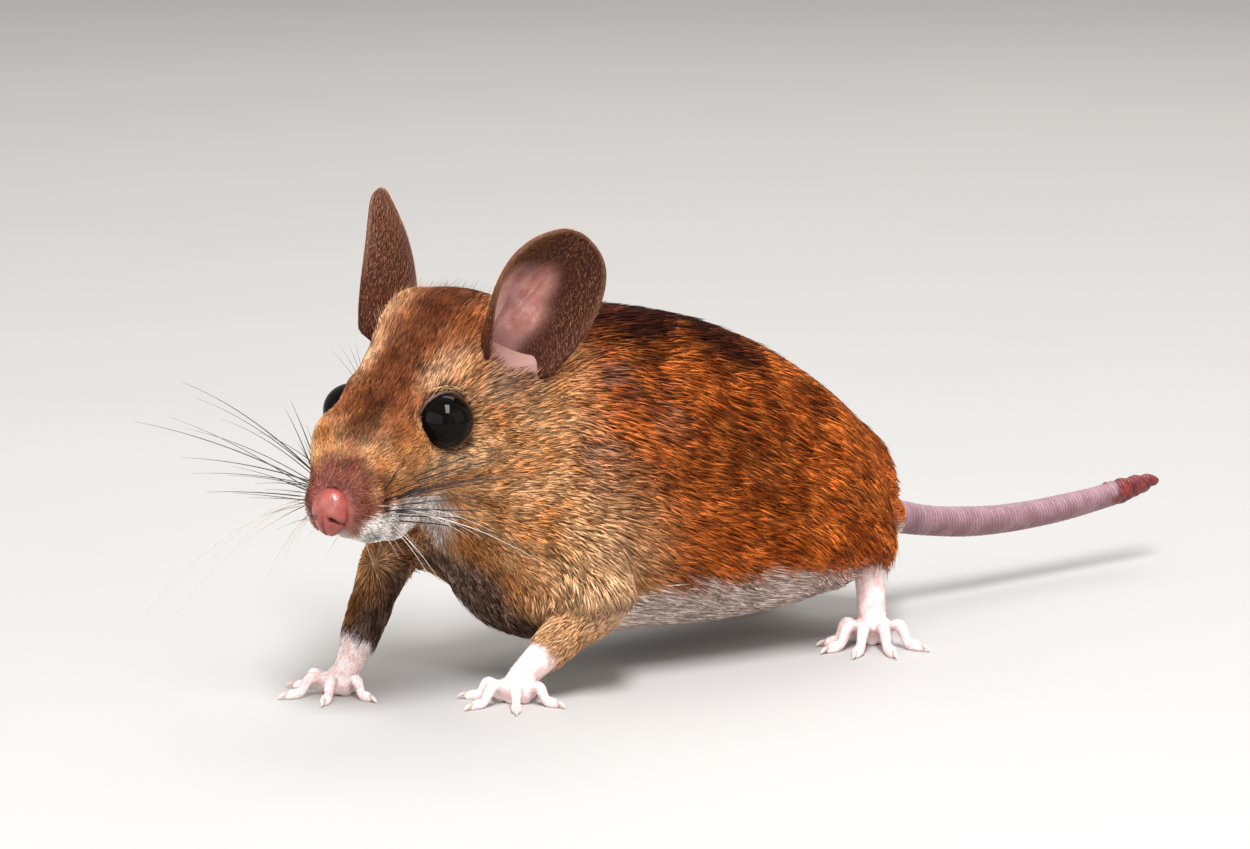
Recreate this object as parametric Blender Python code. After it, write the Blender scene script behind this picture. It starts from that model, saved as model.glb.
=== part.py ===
"""A life-size field mouse, standing alert on its four feet with its head turned a little to its left.

The body is built whole from overlapping forms, blended into one surface, and then parted with thin cuts into
the pieces that a person would name. Lengths are in millimetres until metres() turns them into scene units.
The mouse faces -Y, its left side is +X and +Z is up. The forms are placed from a point on the floor under its
left forepaw, and the last step moves everything so that the origin is on the floor at the middle of the whole.
"""

import math

import bmesh
import bpy
from mathutils import Matrix, Vector

MM = 0.001
GAP = 0.3          # between two pieces that meet
FLOOR = 0.2        # where the soles are cut flat
SIDES = {"left": 1, "right": -1}   # the way along X

# Head: the point midway between the eyes, and how the head is turned.
HEAD_AT = (1.6, -8.6, 29.7)
HEAD_TURN = 15.0   # towards the left side
HEAD_NOD = 17.0    # nose down
HEAD_TILT = 5.0    # left ear down
EYE_AT = (5.7, 0.0, 0.2)   # of the left eye, from HEAD_AT
EYE_RADIUS = 2.65
NOSE_AT = (0.0, -11.9, -5.6)
NOSE_RADII = (1.95, 1.5, 2.35)

# Ears: a leaf-shaped shell, rolled at its root and nearly flat at its tip. Each ear is turned by itself.
EAR_LENGTH = 14.2
EAR_HALF_WIDTH = 7.3
EAR_ROOT_WIDTH = 0.70      # of the full width
EAR_TIP_BLUNTNESS = 3.2
EAR_ROLL_ROOT = 88.0      # degrees from the middle to an edge
EAR_ROLL_TIP = 34.0
EAR_HOLLOW = 0.8
EAR_TIP_FLARE = 1.0
EAR_THICKNESS = 0.65
EAR_ROWS = 11
EAR_COLUMNS = 6            # on each side of the middle
EAR_ROOT = (5.6, 11.2, 3.2)
EAR_SET = {"left": (28.0, 22.5, 48.0), "right": (23.0, 25.0, 61.0)}   # lean out, lean back, faces outwards by

# Whisker pads: the sides of the muzzle, from HEAD_AT, and the long whiskers that grow from each pad.
PAD_AT = (4.7, -8.5, -6.4)
PAD_RADII = (2.5, 3.2, 2.8)
WHISKER_START = 3.6        # how far out from the middle of the head a whisker begins, inside its pad
WHISKER_RADII = (0.30, 0.25)
WHISKER_SIDES = 5
WHISKER_STEPS = 4
# Each row: y and z of the start, the reach outwards, and sweep back, lift and sag as shares of that reach.
WHISKERS = {
    "left": (
        (-8.2, -4.7, 9.0, -0.50, 1.22, 0.25),
        (-8.8, -5.3, 21.0, -0.20, 0.58, 0.14),
        (-7.6, -5.7, 19.5, -0.10, 0.53, 0.14),
        (-9.0, -6.3, 16.0, -0.20, 0.45, 0.19),
        (-7.9, -6.8, 21.5, -0.20, 0.32, 0.26),
        (-8.7, -7.4, 7.0, -0.15, -0.05, 0.60),
    ),
    "right": (
        (-8.2, -4.7, 14.5, -0.15, 1.00, 0.37),
        (-8.8, -5.3, 18.7, -0.25, 0.52, 0.20),
        (-7.6, -5.7, 17.0, -0.10, 0.20, 0.16),
        (-9.0, -6.3, 12.5, -0.20, 0.05, 0.10),
        (-7.9, -6.8, 21.5, -0.25, -0.20, 0.50),
        (-8.7, -7.4, 8.0, -0.15, -0.45, 0.77),
    ),
}

# Feet: the floor point under each, and which way it points.
FOREPAWS = {"left": ((9.2, 0.4), 28.0), "right": ((-5.0, -11.0), 14.0)}
HINDFEET = {"left": ((12.4, 46.0), 42.0), "right": ((-10.0, 48.0), -12.0)}

# Tail: its half-width from root to the bare tip.
TAIL_ROUTE = ((0.0, 50.0, 13.0), (0.0, 58.0, 10.8), (0.0, 66.0, 8.9), (0.0, 74.0, 7.9), (0.0, 82.0, 7.7),
              (0.0, 90.5, 8.1), (0.0, 97.0, 8.8), (0.0, 101.6, 9.3))
TAIL_RADII = (2.5, 1.95, 1.7, 1.62, 1.55, 1.45, 1.25, 0.6)

VOXEL_BODY = 0.55
VOXEL_FOOT = 0.28
CUTTER_VOXEL = 1.3
BODY_TRIANGLES = 4600
FOREPAW_TRIANGLES = 560
HINDFOOT_TRIANGLES = 620

COLOURS = {
    "russet coat": ((0.42, 0.17, 0.05), 0.75),
    "bare pink skin": ((0.85, 0.55, 0.50), 0.5),
    "ear skin": ((0.28, 0.13, 0.09), 0.6),
    "black eye": ((0.01, 0.01, 0.012), 0.08),
    "pink nose": ((0.72, 0.26, 0.24), 0.35),
    "bare red tail tip": ((0.35, 0.03, 0.04), 0.5),
}


# ---------------------------------------------------------------- small tools


def metres(point):
    return Vector(point) * MM


def clear_scene():
    for obj in list(bpy.data.objects):
        bpy.data.objects.remove(obj)


def new_object(name, mesh):
    obj = bpy.data.objects.new(name, mesh)
    bpy.context.scene.collection.objects.link(obj)
    return obj


def from_bmesh(name, bm):
    bmesh.ops.recalc_face_normals(bm, faces=bm.faces)
    mesh = bpy.data.meshes.new(name)
    bm.to_mesh(mesh)
    bm.free()
    return new_object(name, mesh)


def settle(obj):
    """Gives the object the mesh that its modifiers make."""
    bpy.context.view_layer.update()
    graph = bpy.context.evaluated_depsgraph_get()
    mesh = bpy.data.meshes.new_from_object(obj.evaluated_get(graph))
    obj.modifiers.clear()
    obj.data = mesh
    return obj


def copy_of(obj, name):
    return new_object(name, obj.data.copy())


def drop(*objs):
    for obj in objs:
        bpy.data.objects.remove(obj)


def catmull(rows, steps):
    """Rows of numbers made denser by a Catmull-Rom curve that passes through each of them."""
    out = []
    last = len(rows) - 1
    for i in range(last):
        p0, p1 = rows[max(i - 1, 0)], rows[i]
        p2, p3 = rows[i + 1], rows[min(i + 2, last)]
        for k in range(steps):
            t = k / steps
            out.append(tuple(
                b + 0.5 * t * (c - a + t * (2 * a - 5 * b + 4 * c - d + t * (3 * b - a - 3 * c + d)))
                for a, b, c, d in zip(p0, p1, p2, p3)
            ))
    out.append(tuple(rows[-1]))
    return out


# ---------------------------------------------------------------- forms


def egg(centre, radii, turn=None, place=None):
    """An ellipsoid at centre, turned about it by Euler degrees and then carried by the matrix place."""
    bm = bmesh.new()
    bmesh.ops.create_icosphere(bm, subdivisions=4, radius=1.0)
    shape = Matrix.Diagonal((*radii, 1.0))
    if turn:
        for axis, degrees in zip("XYZ", turn):
            shape = Matrix.Rotation(math.radians(degrees), 4, axis) @ shape
    shape = Matrix.Translation(centre) @ shape
    bm.transform(Matrix.Scale(MM, 4) @ (place or Matrix()) @ shape)
    return from_bmesh("form", bm)


def loft(rows, place=None, sides=40, steps=5, fullness=2.2):
    """A closed body through rings square to Y.

    A row is y, x, z of the widest level, half width, height above and depth below that level.
    """
    bm = bmesh.new()
    rings = []
    for y, x, z, half, above, below in catmull(rows, steps):
        ring = []
        for k in range(sides):
            angle = 2 * math.pi * k / sides
            c, s = math.cos(angle), math.sin(angle)
            across = half * math.copysign(abs(c) ** (2 / fullness), c)
            up = (above if s > 0 else below) * math.copysign(abs(s) ** (2 / fullness), s)
            ring.append(bm.verts.new((x + across, y, z + up)))
        rings.append(ring)
    for first, second in zip(rings, rings[1:]):
        for k in range(sides):
            bm.faces.new((first[k], first[(k + 1) % sides], second[(k + 1) % sides], second[k]))
    bm.faces.new(rings[0])
    bm.faces.new(rings[-1])
    bm.transform(Matrix.Scale(MM, 4) @ (place or Matrix()))
    return from_bmesh("form", bm)


def limb(points, radii, grow=0.0, place=None, name="form"):
    """A tapered round limb along a smooth line, with ball ends."""
    rows = catmull([(*p, r) for p, r in zip(points, radii)], 6)
    curve = bpy.data.curves.new(name, "CURVE")
    curve.dimensions = "3D"
    curve.bevel_depth = 1.0
    curve.bevel_resolution = 4
    curve.use_fill_caps = True
    spline = curve.splines.new("POLY")
    spline.points.add(len(rows) - 1)
    carry = Matrix.Scale(MM, 4) @ (place or Matrix())
    for point, (x, y, z, r) in zip(spline.points, rows):
        point.co = (*(carry @ Vector((x, y, z))), 1.0)
        point.radius = (r + grow) * MM
    tube = new_object(name, curve)
    ends = [egg(row[:3], [row[3] + grow] * 3, place=place) for row in (rows[0], rows[-1])]
    return join([tube, *ends], name)


def join(objs, name):
    """One object that holds the loose shells of all of them."""
    bm = bmesh.new()
    for obj in objs:
        mesh = obj.data
        if obj.type == "CURVE":
            bpy.context.view_layer.update()
            mesh = bpy.data.meshes.new_from_object(obj.evaluated_get(bpy.context.evaluated_depsgraph_get()))
        bm.from_mesh(mesh)
    drop(*objs)
    mesh = bpy.data.meshes.new(name)
    bm.to_mesh(mesh)
    bm.free()
    return new_object(name, mesh)


def blended(forms, name, voxel, smoothing, triangles):
    """The forms melted into one closed surface with soft creases."""
    obj = join(forms, name)
    remesh = obj.modifiers.new("melt", "REMESH")
    remesh.mode = "VOXEL"
    remesh.voxel_size = voxel * MM
    smooth = obj.modifiers.new("soften", "SMOOTH")
    smooth.factor = 0.5
    smooth.iterations = smoothing
    settle(obj)
    faces = sum(len(p.vertices) - 2 for p in obj.data.polygons)
    fewer = obj.modifiers.new("fewer faces", "DECIMATE")
    fewer.ratio = min(1.0, triangles / faces)
    return settle(obj)


def boolean(obj, cutter, operation):
    modifier = obj.modifiers.new(operation, "BOOLEAN")
    modifier.operation = operation
    modifier.object = cutter
    modifier.solver = "EXACT"
    return settle(obj)


def keep_side(obj, point, normal):
    """Keeps what lies on the side of a plane that the normal points to."""
    size = 300 * MM
    bm = bmesh.new()
    bmesh.ops.create_cube(bm, size=size)
    bm.transform(
        Matrix.Translation(metres(point))
        @ Vector(normal).to_track_quat("Z", "Y").to_matrix().to_4x4()
        @ Matrix.Translation((0, 0, size / 2))
    )
    block = from_bmesh("block", bm)
    boolean(obj, block, "INTERSECT")
    drop(block)
    return obj


def part_by_plane(obj, point, normal, front_name, back_name):
    """Two pieces of the object on either side of a plane, GAP apart."""
    half = Vector(normal).normalized() * GAP / 2
    front = largest_shell(keep_side(copy_of(obj, front_name), Vector(point) + half, normal))
    back = largest_shell(keep_side(copy_of(obj, back_name), Vector(point) - half, -Vector(normal)))
    drop(obj)
    return front, back


def part_by_limb(obj, points, radii, clip, name):
    """Takes out of the object, as a piece of its own, what lies within a fat limb, GAP away from the rest.

    The clip is a point and a direction: the piece ends at that plane, on the side that the direction shows.
    """
    point, normal = Vector(clip[0]), Vector(clip[1]).normalized()
    cutters = []
    for grow in (0.0, GAP):
        cutter = limb(points, radii, grow)
        shell = cutter.modifiers.new("one shell", "REMESH")
        shell.mode = "VOXEL"
        shell.voxel_size = CUTTER_VOXEL * MM
        fewer = cutter.modifiers.new("fewer faces", "DECIMATE")
        fewer.ratio = 0.3
        cutters.append(keep_side(settle(cutter), point - normal * grow, normal))
    piece = boolean(copy_of(obj, name), cutters[0], "INTERSECT")
    boolean(obj, cutters[1], "DIFFERENCE")
    drop(*cutters)
    return largest_shell(piece)


def swollen(obj, by):
    """A copy of the object that is fatter by a length all over."""
    copy = copy_of(obj, "swollen")
    swell = copy.modifiers.new("swell", "DISPLACE")
    swell.mid_level = 0.0
    swell.strength = by * MM
    return settle(copy)


def make_room(obj, other):
    """Cuts out of the object what lies within GAP of the other piece."""
    cutter = swollen(other, GAP)
    boolean(obj, cutter, "DIFFERENCE")
    drop(cutter)
    return obj


def largest_shell(obj):
    """Keeps the biggest connected shell and drops crumbs that a cut can leave."""
    bm = bmesh.new()
    bm.from_mesh(obj.data)
    left = set(bm.verts)
    shells = []
    while left:
        stack = [left.pop()]
        shell = set(stack)
        while stack:
            for edge in stack.pop().link_edges:
                for vert in edge.verts:
                    if vert in left:
                        left.discard(vert)
                        shell.add(vert)
                        stack.append(vert)
        shells.append(shell)
    keep = max(shells, key=len)
    bmesh.ops.delete(bm, geom=[v for v in bm.verts if v not in keep], context="VERTS")
    bm.to_mesh(obj.data)
    bm.free()
    return obj


# ---------------------------------------------------------------- the head


def head_place():
    turn = (
        Matrix.Rotation(math.radians(HEAD_TURN), 4, "Z")
        @ Matrix.Rotation(math.radians(HEAD_NOD), 4, "X")
        @ Matrix.Rotation(math.radians(HEAD_TILT), 4, "Y")
    )
    return Matrix.Translation(HEAD_AT) @ turn


# y, x, z of the widest level, half width, height above and depth below, from nose to nape in the head frame.
SKULL_ROWS = (
    (-12.7, 0.0, -5.3, 0.9, 0.9, 1.6),
    (-11.7, 0.0, -5.2, 2.5, 2.2, 3.3),
    (-9.6, 0.0, -4.8, 4.2, 3.2, 5.0),
    (-6.8, 0.0, -4.0, 5.5, 4.3, 6.4),
    (-3.4, 0.0, -2.9, 6.2, 5.1, 7.3),
    (0.6, 0.0, -2.0, 6.7, 6.7, 7.8),
    (4.8, 0.0, -1.4, 7.9, 8.3, 9.0),
    (9.2, 0.0, -0.8, 8.9, 9.4, 10.0),
    (13.4, 0.0, -1.0, 8.5, 8.8, 10.2),
    (17.0, 0.0, -2.0, 6.8, 7.0, 8.6),
    (19.5, 0.0, -3.0, 3.4, 3.6, 4.6),
)


def head_forms():
    place = head_place()
    forms = [loft(SKULL_ROWS, place)]
    for side in (1, -1):
        forms.append(egg((side * 2.5, -8.5, -6.7), (2.8, 3.8, 3.4), place=place))      # whisker pads
        forms.append(egg((side * 5.2, 5.5, -4.6), (4.3, 7.0, 5.0), place=place))       # cheeks
        forms.append(egg((side * 3.7, 1.0, 2.4), (2.0, 4.0, 1.8), place=place))        # brows
        forms.append(egg((side * 6.6, 11.0, 4.2), (3.4, 4.2, 4.2), place=place))       # round the ear roots
    forms.append(egg((0.0, -5.8, -8.7), (2.6, 4.6, 1.9), place=place))                 # chin
    return forms


def eyes():
    place = head_place()
    made = []
    for label, side in SIDES.items():
        x, y, z = EYE_AT
        eye = egg((side * x, y, z), [EYE_RADIUS] * 3, place=place)
        eye.name = "eye_" + label
        fewer = eye.modifiers.new("fewer faces", "DECIMATE")
        fewer.ratio = 0.13
        made.append(settle(eye))
    return made


def whisker(side, y, z, reach, sweep, lift, sag):
    """One long whisker: it leaves its pad straight, sags towards its tip and thins a little on the way."""
    bm = bmesh.new()
    rings = []
    thick, thin = WHISKER_RADII
    for step in range(WHISKER_STEPS + 1):
        t = step / WHISKER_STEPS
        out = reach * t
        middle = Vector((side * (WHISKER_START + out), y + sweep * out, z + (lift - sag * t) * out))
        along = Vector((side, sweep, lift - 2 * sag * t))
        square = along.to_track_quat("Z", "Y").to_matrix()
        radius = thick + (thin - thick) * t
        ring = []
        for k in range(WHISKER_SIDES):
            angle = 2 * math.pi * k / WHISKER_SIDES
            edge = Vector((math.cos(angle), math.sin(angle), 0)) * radius
            ring.append(bm.verts.new(middle + square @ edge))
        rings.append(ring)
    for near, far in zip(rings, rings[1:]):
        for k in range(WHISKER_SIDES):
            bm.faces.new((near[k], near[(k + 1) % WHISKER_SIDES], far[(k + 1) % WHISKER_SIDES], far[k]))
    bm.faces.new(rings[0])
    bm.faces.new(rings[-1])
    bm.transform(Matrix.Scale(MM, 4) @ head_place())
    return from_bmesh("whisker", bm)


def whisker_pad(head, side, label):
    """Takes one side of the muzzle out of the head, as a piece of its own."""
    centre = (side * PAD_AT[0], *PAD_AT[1:])
    pad_form, room = (egg(centre, [r + grow for r in PAD_RADII], place=head_place()) for grow in (0.0, GAP))
    pad = boolean(copy_of(head, "whiskers_" + label), pad_form, "INTERSECT")
    boolean(head, room, "DIFFERENCE")
    drop(pad_form, room)
    return largest_shell(pad)


def with_whiskers(pad, side, label):
    """The pad with its whiskers grown together with it."""
    for row in WHISKERS[label]:
        hair = whisker(side, *row)
        boolean(pad, hair, "UNION")
        drop(hair)
    return pad


def ear_row(t):
    """Points across the ear at the share t of its length, from its front edge to its back edge."""
    widening = EAR_ROOT_WIDTH + (1 - EAR_ROOT_WIDTH) * math.sin(min(t / 0.55, 1.0) * math.pi / 2)
    leaf = widening * math.sqrt(max(1 - t ** EAR_TIP_BLUNTNESS, 0.0))
    half = max(EAR_HALF_WIDTH * leaf, 0.3)
    roll = math.radians(EAR_ROLL_TIP + (EAR_ROLL_ROOT - EAR_ROLL_TIP) * (1 - t) ** 1.5)
    step = half / EAR_COLUMNS
    sweep = EAR_HOLLOW * math.sin(t * math.pi) - EAR_TIP_FLARE * t * t
    row = [(0.0, 0.0)]
    for way in (-1, 1):
        across = depth = 0.0
        for j in range(EAR_COLUMNS):
            s = (j + 0.5) / EAR_COLUMNS
            bend = roll * (s + (0.3 if way < 0 else -0.3) * s * s)   # rolled in more at the front edge
            across += way * step * math.cos(bend)
            depth += step * math.sin(bend)
            row.insert(0 if way < 0 else len(row), (across, depth))
    return [(across, -depth + sweep) for across, depth in row]


def ear(side, label):
    """The shell of one ear, rolled into a tube at its root and open at its tip."""
    bm = bmesh.new()
    grid = []
    for i in range(EAR_ROWS + 1):
        t = i / EAR_ROWS
        height = EAR_LENGTH * math.sin(t * math.pi / 2)
        grid.append([bm.verts.new((x, y, height)) for x, y in ear_row(math.sin(t * math.pi / 2))])
    for low, high in zip(grid, grid[1:]):
        for j in range(2 * EAR_COLUMNS):
            bm.faces.new((low[j], low[j + 1], high[j + 1], high[j]))
    out, back, turn = EAR_SET[label]
    placed = (
        Matrix.Translation(EAR_ROOT)
        @ Matrix.Rotation(math.radians(out), 4, "Y")
        @ Matrix.Rotation(math.radians(-back), 4, "X")
        @ Matrix.Rotation(math.radians(turn), 4, "Z")
    )
    mirror = Matrix.Diagonal((side, 1, 1, 1))
    bm.transform(Matrix.Scale(MM, 4) @ head_place() @ mirror @ placed)
    shell = from_bmesh("ear_" + label, bm)
    wall = shell.modifiers.new("wall", "SOLIDIFY")
    wall.thickness = EAR_THICKNESS * MM
    wall.offset = 0.0
    return settle(shell)


# ---------------------------------------------------------------- the trunk

# y, x, z of the widest level, half width, height above, depth below, from neck to rump.
TRUNK_ROWS = (
    (-4.0, 1.0, 27.0, 6.0, 8.0, 8.5),
    (1.0, 0.7, 25.0, 8.4, 12.0, 16.5),
    (6.0, 0.4, 22.0, 10.4, 15.6, 17.0),
    (12.0, 0.1, 19.0, 12.2, 18.9, 15.3),
    (20.0, 0.0, 17.4, 13.4, 20.4, 13.9),
    (28.0, 0.0, 16.4, 14.3, 19.7, 13.4),
    (36.0, 0.0, 15.6, 14.6, 17.7, 12.7),
    (43.0, 0.0, 15.0, 13.7, 14.5, 11.2),
    (48.5, 0.0, 14.4, 11.2, 11.2, 8.8),
    (52.8, 0.0, 13.7, 8.2, 8.2, 6.0),
    (56.0, 0.0, 13.3, 4.9, 5.0, 3.8),
    (57.6, 0.0, 13.0, 1.4, 1.6, 1.3),
)


def trunk_forms():
    forms = [loft(TRUNK_ROWS, sides=48)]
    for side in (1, -1):
        forms.append(egg((side * 7.6, 7.0, 17.0), (4.9, 7.2, 9.6), (12, 0, 0)))       # shoulders
        forms.append(egg((side * 8.4, 41.0, 15.0), (6.4, 9.8, 8.8), (-14, 0, 0)))     # haunches
    return forms


# ---------------------------------------------------------------- the legs

FORELEGS = {
    "left": (((8.6, 6.5, 17.0), (11.6, 9.6, 10.0), (10.6, 5.4, 6.4), (9.6, 1.4, 3.0)),
             (4.4, 3.5, 2.4, 1.75)),
    "right": (((-8.2, 5.0, 17.5), (-7.9, -1.9, 13.4), (-6.3, -5.9, 8.4), (-5.0, -9.7, 3.0)),
              (4.4, 3.3, 2.4, 1.75)),
}
HINDLEGS = {
    "left": (((9.6, 40.0, 17.0), (11.4, 37.6, 12.6), (11.2, 45.0, 12.6), (10.2, 48.0, 11.2)),
             (6.0, 4.2, 3.8, 2.9)),
    "right": (((-9.4, 41.0, 17.0), (-11.2, 38.4, 12.6), (-10.8, 47.0, 11.4), (-10.0, 52.0, 9.6)),
              (6.0, 4.2, 3.7, 2.9)),
}
HEELS = {"left": (9.8, 47.6, 10.6), "right": (-10.0, 53.2, 8.0)}


def pointing(degrees):
    """The level direction that a foot points in: 0 is forwards and positive turns to the left side."""
    angle = math.radians(degrees)
    return Vector((math.sin(angle), -math.cos(angle), 0.0))


def digit(root, azimuth, reach, radius, arch):
    """A finger or toe: out from the root, over an arched knuckle and down to its pad on the floor."""
    way = pointing(azimuth)
    knuckle = root + way * reach * 0.45 + Vector((0, 0, arch))
    last = root + way * reach * 0.8
    last.z = radius * 1.15
    tip = root + way * reach
    tip.z = radius * 0.8
    return limb((root, knuckle, last, tip), (radius, radius * 0.95, radius, radius * 0.72))


def claw(root, azimuth, reach, radius):
    """A short claw that grows out of a digit's end."""
    way = pointing(azimuth)
    start = root + way * (reach - 0.2)
    start.z = radius * 1.25
    end = root + way * (reach + 1.0)
    end.z = radius * 0.45
    return limb((start, end), (0.34, 0.25))


def forepaw(label):
    (x, y), heading = FOREPAWS[label]
    palm = Vector((x, y, 1.7))
    spread = {-78: 3.7, -25: 4.5, 24: 4.5, 76: 3.9}
    forms = [
        egg(palm, (2.1, 2.1, 1.35), (0, 0, heading)),
        limb(FORELEGS[label][0][2:] + (tuple(palm),), FORELEGS[label][1][2:] + (1.5,)),
    ]
    for angle, reach in spread.items():
        azimuth = heading + angle
        root = palm + pointing(azimuth) * 1.2 - Vector((0, 0, 0.2))
        forms.append(digit(root, azimuth, reach, 0.62, 0.35))
        forms.append(claw(root, azimuth, reach, 0.62))
    forms.append(egg(palm - pointing(heading) * 1.3 - Vector((0, 0, 1.0)), (1.4, 1.2, 0.9)))   # heel pad
    return blended(forms, "forepaw_" + label, VOXEL_FOOT, 3, FOREPAW_TRIANGLES)


def hindfoot(label):
    (x, y), heading = HINDFEET[label]
    ball = Vector((x, y, 2.1))
    tight = 1.0 if label == "left" else 0.72
    spread = {-62: 3.9, -36: 5.6, -8: 6.3, 22: 6.1, 58: 5.0}
    mirror = 1 if label == "left" else -1
    heel = HEELS[label]
    forms = [
        egg(ball, (2.3, 2.0, 1.5), (0, 0, heading)),
        limb((heel, tuple((Vector(heel) + ball) / 2), tuple(ball)), (2.1, 1.9, 1.7)),
    ]
    for angle, reach in spread.items():
        azimuth = heading + mirror * angle * tight
        root = ball + pointing(azimuth) * 1.3 - Vector((0, 0, 0.3))
        forms.append(digit(root, azimuth, reach, 0.7, 0.5))
        forms.append(claw(root, azimuth, reach, 0.7))
    forms.append(egg(ball - Vector((0, 0, 1.2)), (1.9, 1.7, 1.2)))   # ball pad
    return blended(forms, "hindfoot_" + label, VOXEL_FOOT, 3, HINDFOOT_TRIANGLES)


# Where the whole body is parted: a point and the direction of the first of the two pieces.
HEAD_CUT = ((0.0, 4.6, 25.0), (0.2, -0.925, 0.324))
NECK_CUT = ((0.0, 10.0, 28.0), (0.1, -0.92, 0.40))
CHEST_CUT = ((0.0, 21.0, 15.0), (0.0, -1.0, 0.0))
BELLY_CUT = ((0.0, 36.0, 15.0), (0.0, -1.0, 0.0))
TAIL_CUTS = (60.8, 71.0, 84.0, 94.5)

# What belongs to each leg: a fat limb through it, and the plane where the fur ends and the bare foot begins.
FORELEG_CUTS = {
    "left": (((8.6, 8.0, 14.5), (11.6, 9.8, 10.0), (10.4, 4.8, 6.0), (9.6, 1.0, 2.6)),
             (5.2, 5.4, 4.0, 3.4), (10.3, 4.2, 5.4), (2.0, 8.2, 7.0)),
    "right": (((-7.6, 4.0, 14.5), (-8.2, -1.6, 12.4), (-6.4, -6.0, 8.2), (-5.0, -9.7, 3.0)),
              (5.0, 5.0, 4.2, 3.6), (-5.9, -7.4, 6.0), (1.6, 5.2, 8.0)),
}
HINDLEG_CUTS = {
    "left": (((9.6, 40.5, 17.0), (12.0, 38.4, 12.8), (12.0, 44.0, 11.8), (9.8, 47.6, 10.6)),
             (8.0, 7.0, 6.0, 4.4), (9.9, 47.5, 9.2), (0, 0, 1)),
    "right": (((-9.6, 41.5, 17.0), (-12.0, 39.0, 12.8), (-11.6, 47.0, 11.4), (-10.2, 52.4, 9.6)),
              (8.0, 7.0, 5.8, 4.4), (-10.0, 52.8, 7.6), (0, 0.35, 1)),
}


# ---------------------------------------------------------------- the whole animal


def material(name):
    colour, roughness = COLOURS[name]
    made = bpy.data.materials.get(name)
    if made is None:
        made = bpy.data.materials.new(name)
        made.use_nodes = True
        shader = made.node_tree.nodes["Principled BSDF"]
        shader.inputs["Base Color"].default_value = (*colour, 1.0)
        shader.inputs["Roughness"].default_value = roughness
        shader.inputs["Metallic"].default_value = 0.0
        made.diffuse_color = (*colour, 1.0)
    return made


MOST_TRIANGLES = {
    "head": 1500, "neck": 360, "chest": 600, "belly": 390, "rump": 690,
    "foreleg_left": 320, "foreleg_right": 320, "hindleg_left": 410, "hindleg_right": 410,
    "forepaw_left": 440, "forepaw_right": 440, "hindfoot_left": 500, "hindfoot_right": 500,
    "ear_left": 350, "ear_right": 350, "whiskers_left": 130, "whiskers_right": 130,
    "tail_base": 260, "tail_middle": 140, "tail_end": 130, "tail_tip": 120,
}


def whole_body():
    forms = head_forms() + trunk_forms()
    for legs in (FORELEGS, HINDLEGS):
        forms += [limb(*leg) for leg in legs.values()]
    forms.append(limb(TAIL_ROUTE[:3], (4.6, 2.9, 2.4)))   # fur round the tail's root
    return blended(forms, "body", VOXEL_BODY, 22, BODY_TRIANGLES)


def nose():
    pad = egg(NOSE_AT, NOSE_RADII, (-18, 0, 0), head_place())
    pad.name = "nose"
    fewer = pad.modifiers.new("fewer faces", "DECIMATE")
    fewer.ratio = 0.13
    return settle(pad)


def tail():
    """The bare tail in three lengths, and its red tip."""
    whole = limb(TAIL_ROUTE, TAIL_RADII, name="tail")
    melt = whole.modifiers.new("one shell", "REMESH")
    melt.mode = "VOXEL"
    melt.voxel_size = 0.45 * MM
    fewer = whole.modifiers.new("fewer faces", "DECIMATE")
    fewer.ratio = 0.2
    settle(whole)
    keep_side(whole, (0, TAIL_CUTS[0] + GAP, 0), (0, 1, 0))
    pieces = []
    for name, at in zip(("tail_base", "tail_middle", "tail_end"), TAIL_CUTS[1:]):
        piece, whole = part_by_plane(whole, (0, at, 0), (0, -1, 0), name, "tail_tip")
        pieces.append(piece)
    return pieces + [whole]


def legs(body):
    """Each leg taken out of the body, with the bare foot that carries on from it."""
    made = []
    for label in SIDES:
        for cuts, foot, name in ((FORELEG_CUTS, forepaw, "foreleg_"), (HINDLEG_CUTS, hindfoot, "hindleg_")):
            points, radii, wrist, upwards = cuts[label]
            made.append(part_by_limb(body, points, radii, (wrist, upwards), name + label))
            paw = foot(label)
            under = Vector(wrist) - Vector(upwards).normalized() * GAP
            made.append(keep_side(paw, under, -Vector(upwards)))
            make_room(body, made[-1])
    return made


def main():
    clear_scene()
    body = whole_body()
    pad, balls, tail_pieces = nose(), eyes(), tail()
    keep_side(body, (0, TAIL_CUTS[0], 0), (0, -1, 0))
    for piece in (pad, *balls):
        make_room(body, piece)
    flesh = legs(body)
    largest_shell(body)
    head, rest = part_by_plane(body, *HEAD_CUT, "head", "rest")
    pads = {label: whisker_pad(head, side, label) for label, side in SIDES.items()}
    largest_shell(head)
    neck, rest = part_by_plane(rest, *NECK_CUT, "neck", "rest")
    chest, rest = part_by_plane(rest, *CHEST_CUT, "chest", "rest")
    belly, rump = part_by_plane(rest, *BELLY_CUT, "belly", "rump")
    flesh += [head, *pads.values(), neck, chest, belly, rump]
    ears = [ear(side, label) for label, side in SIDES.items()]
    for shell in ears:
        for solid in (head, neck):
            make_room(shell, solid)
        largest_shell(shell)
    finish(flesh, "russet coat")
    finish([p for p in flesh if p.name.startswith(("forepaw", "hindfoot"))], "bare pink skin")
    finish(tail_pieces[:-1], "bare pink skin")
    finish(tail_pieces[-1:], "bare red tail tip")
    finish(ears, "ear skin")
    finish(balls, "black eye")
    finish([pad], "pink nose")
    for name, triangles in MOST_TRIANGLES.items():
        thin_out(bpy.data.objects[name], triangles)
        if name.startswith(("forepaw", "hindfoot")):
            keep_side(bpy.data.objects[name], (0, 0, FLOOR), (0, 0, 1))
    for label, side in SIDES.items():
        with_whiskers(pads[label], side, label)
    for obj in bpy.data.objects:
        smooth_shaded(obj)
    centre_on_floor()


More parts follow.
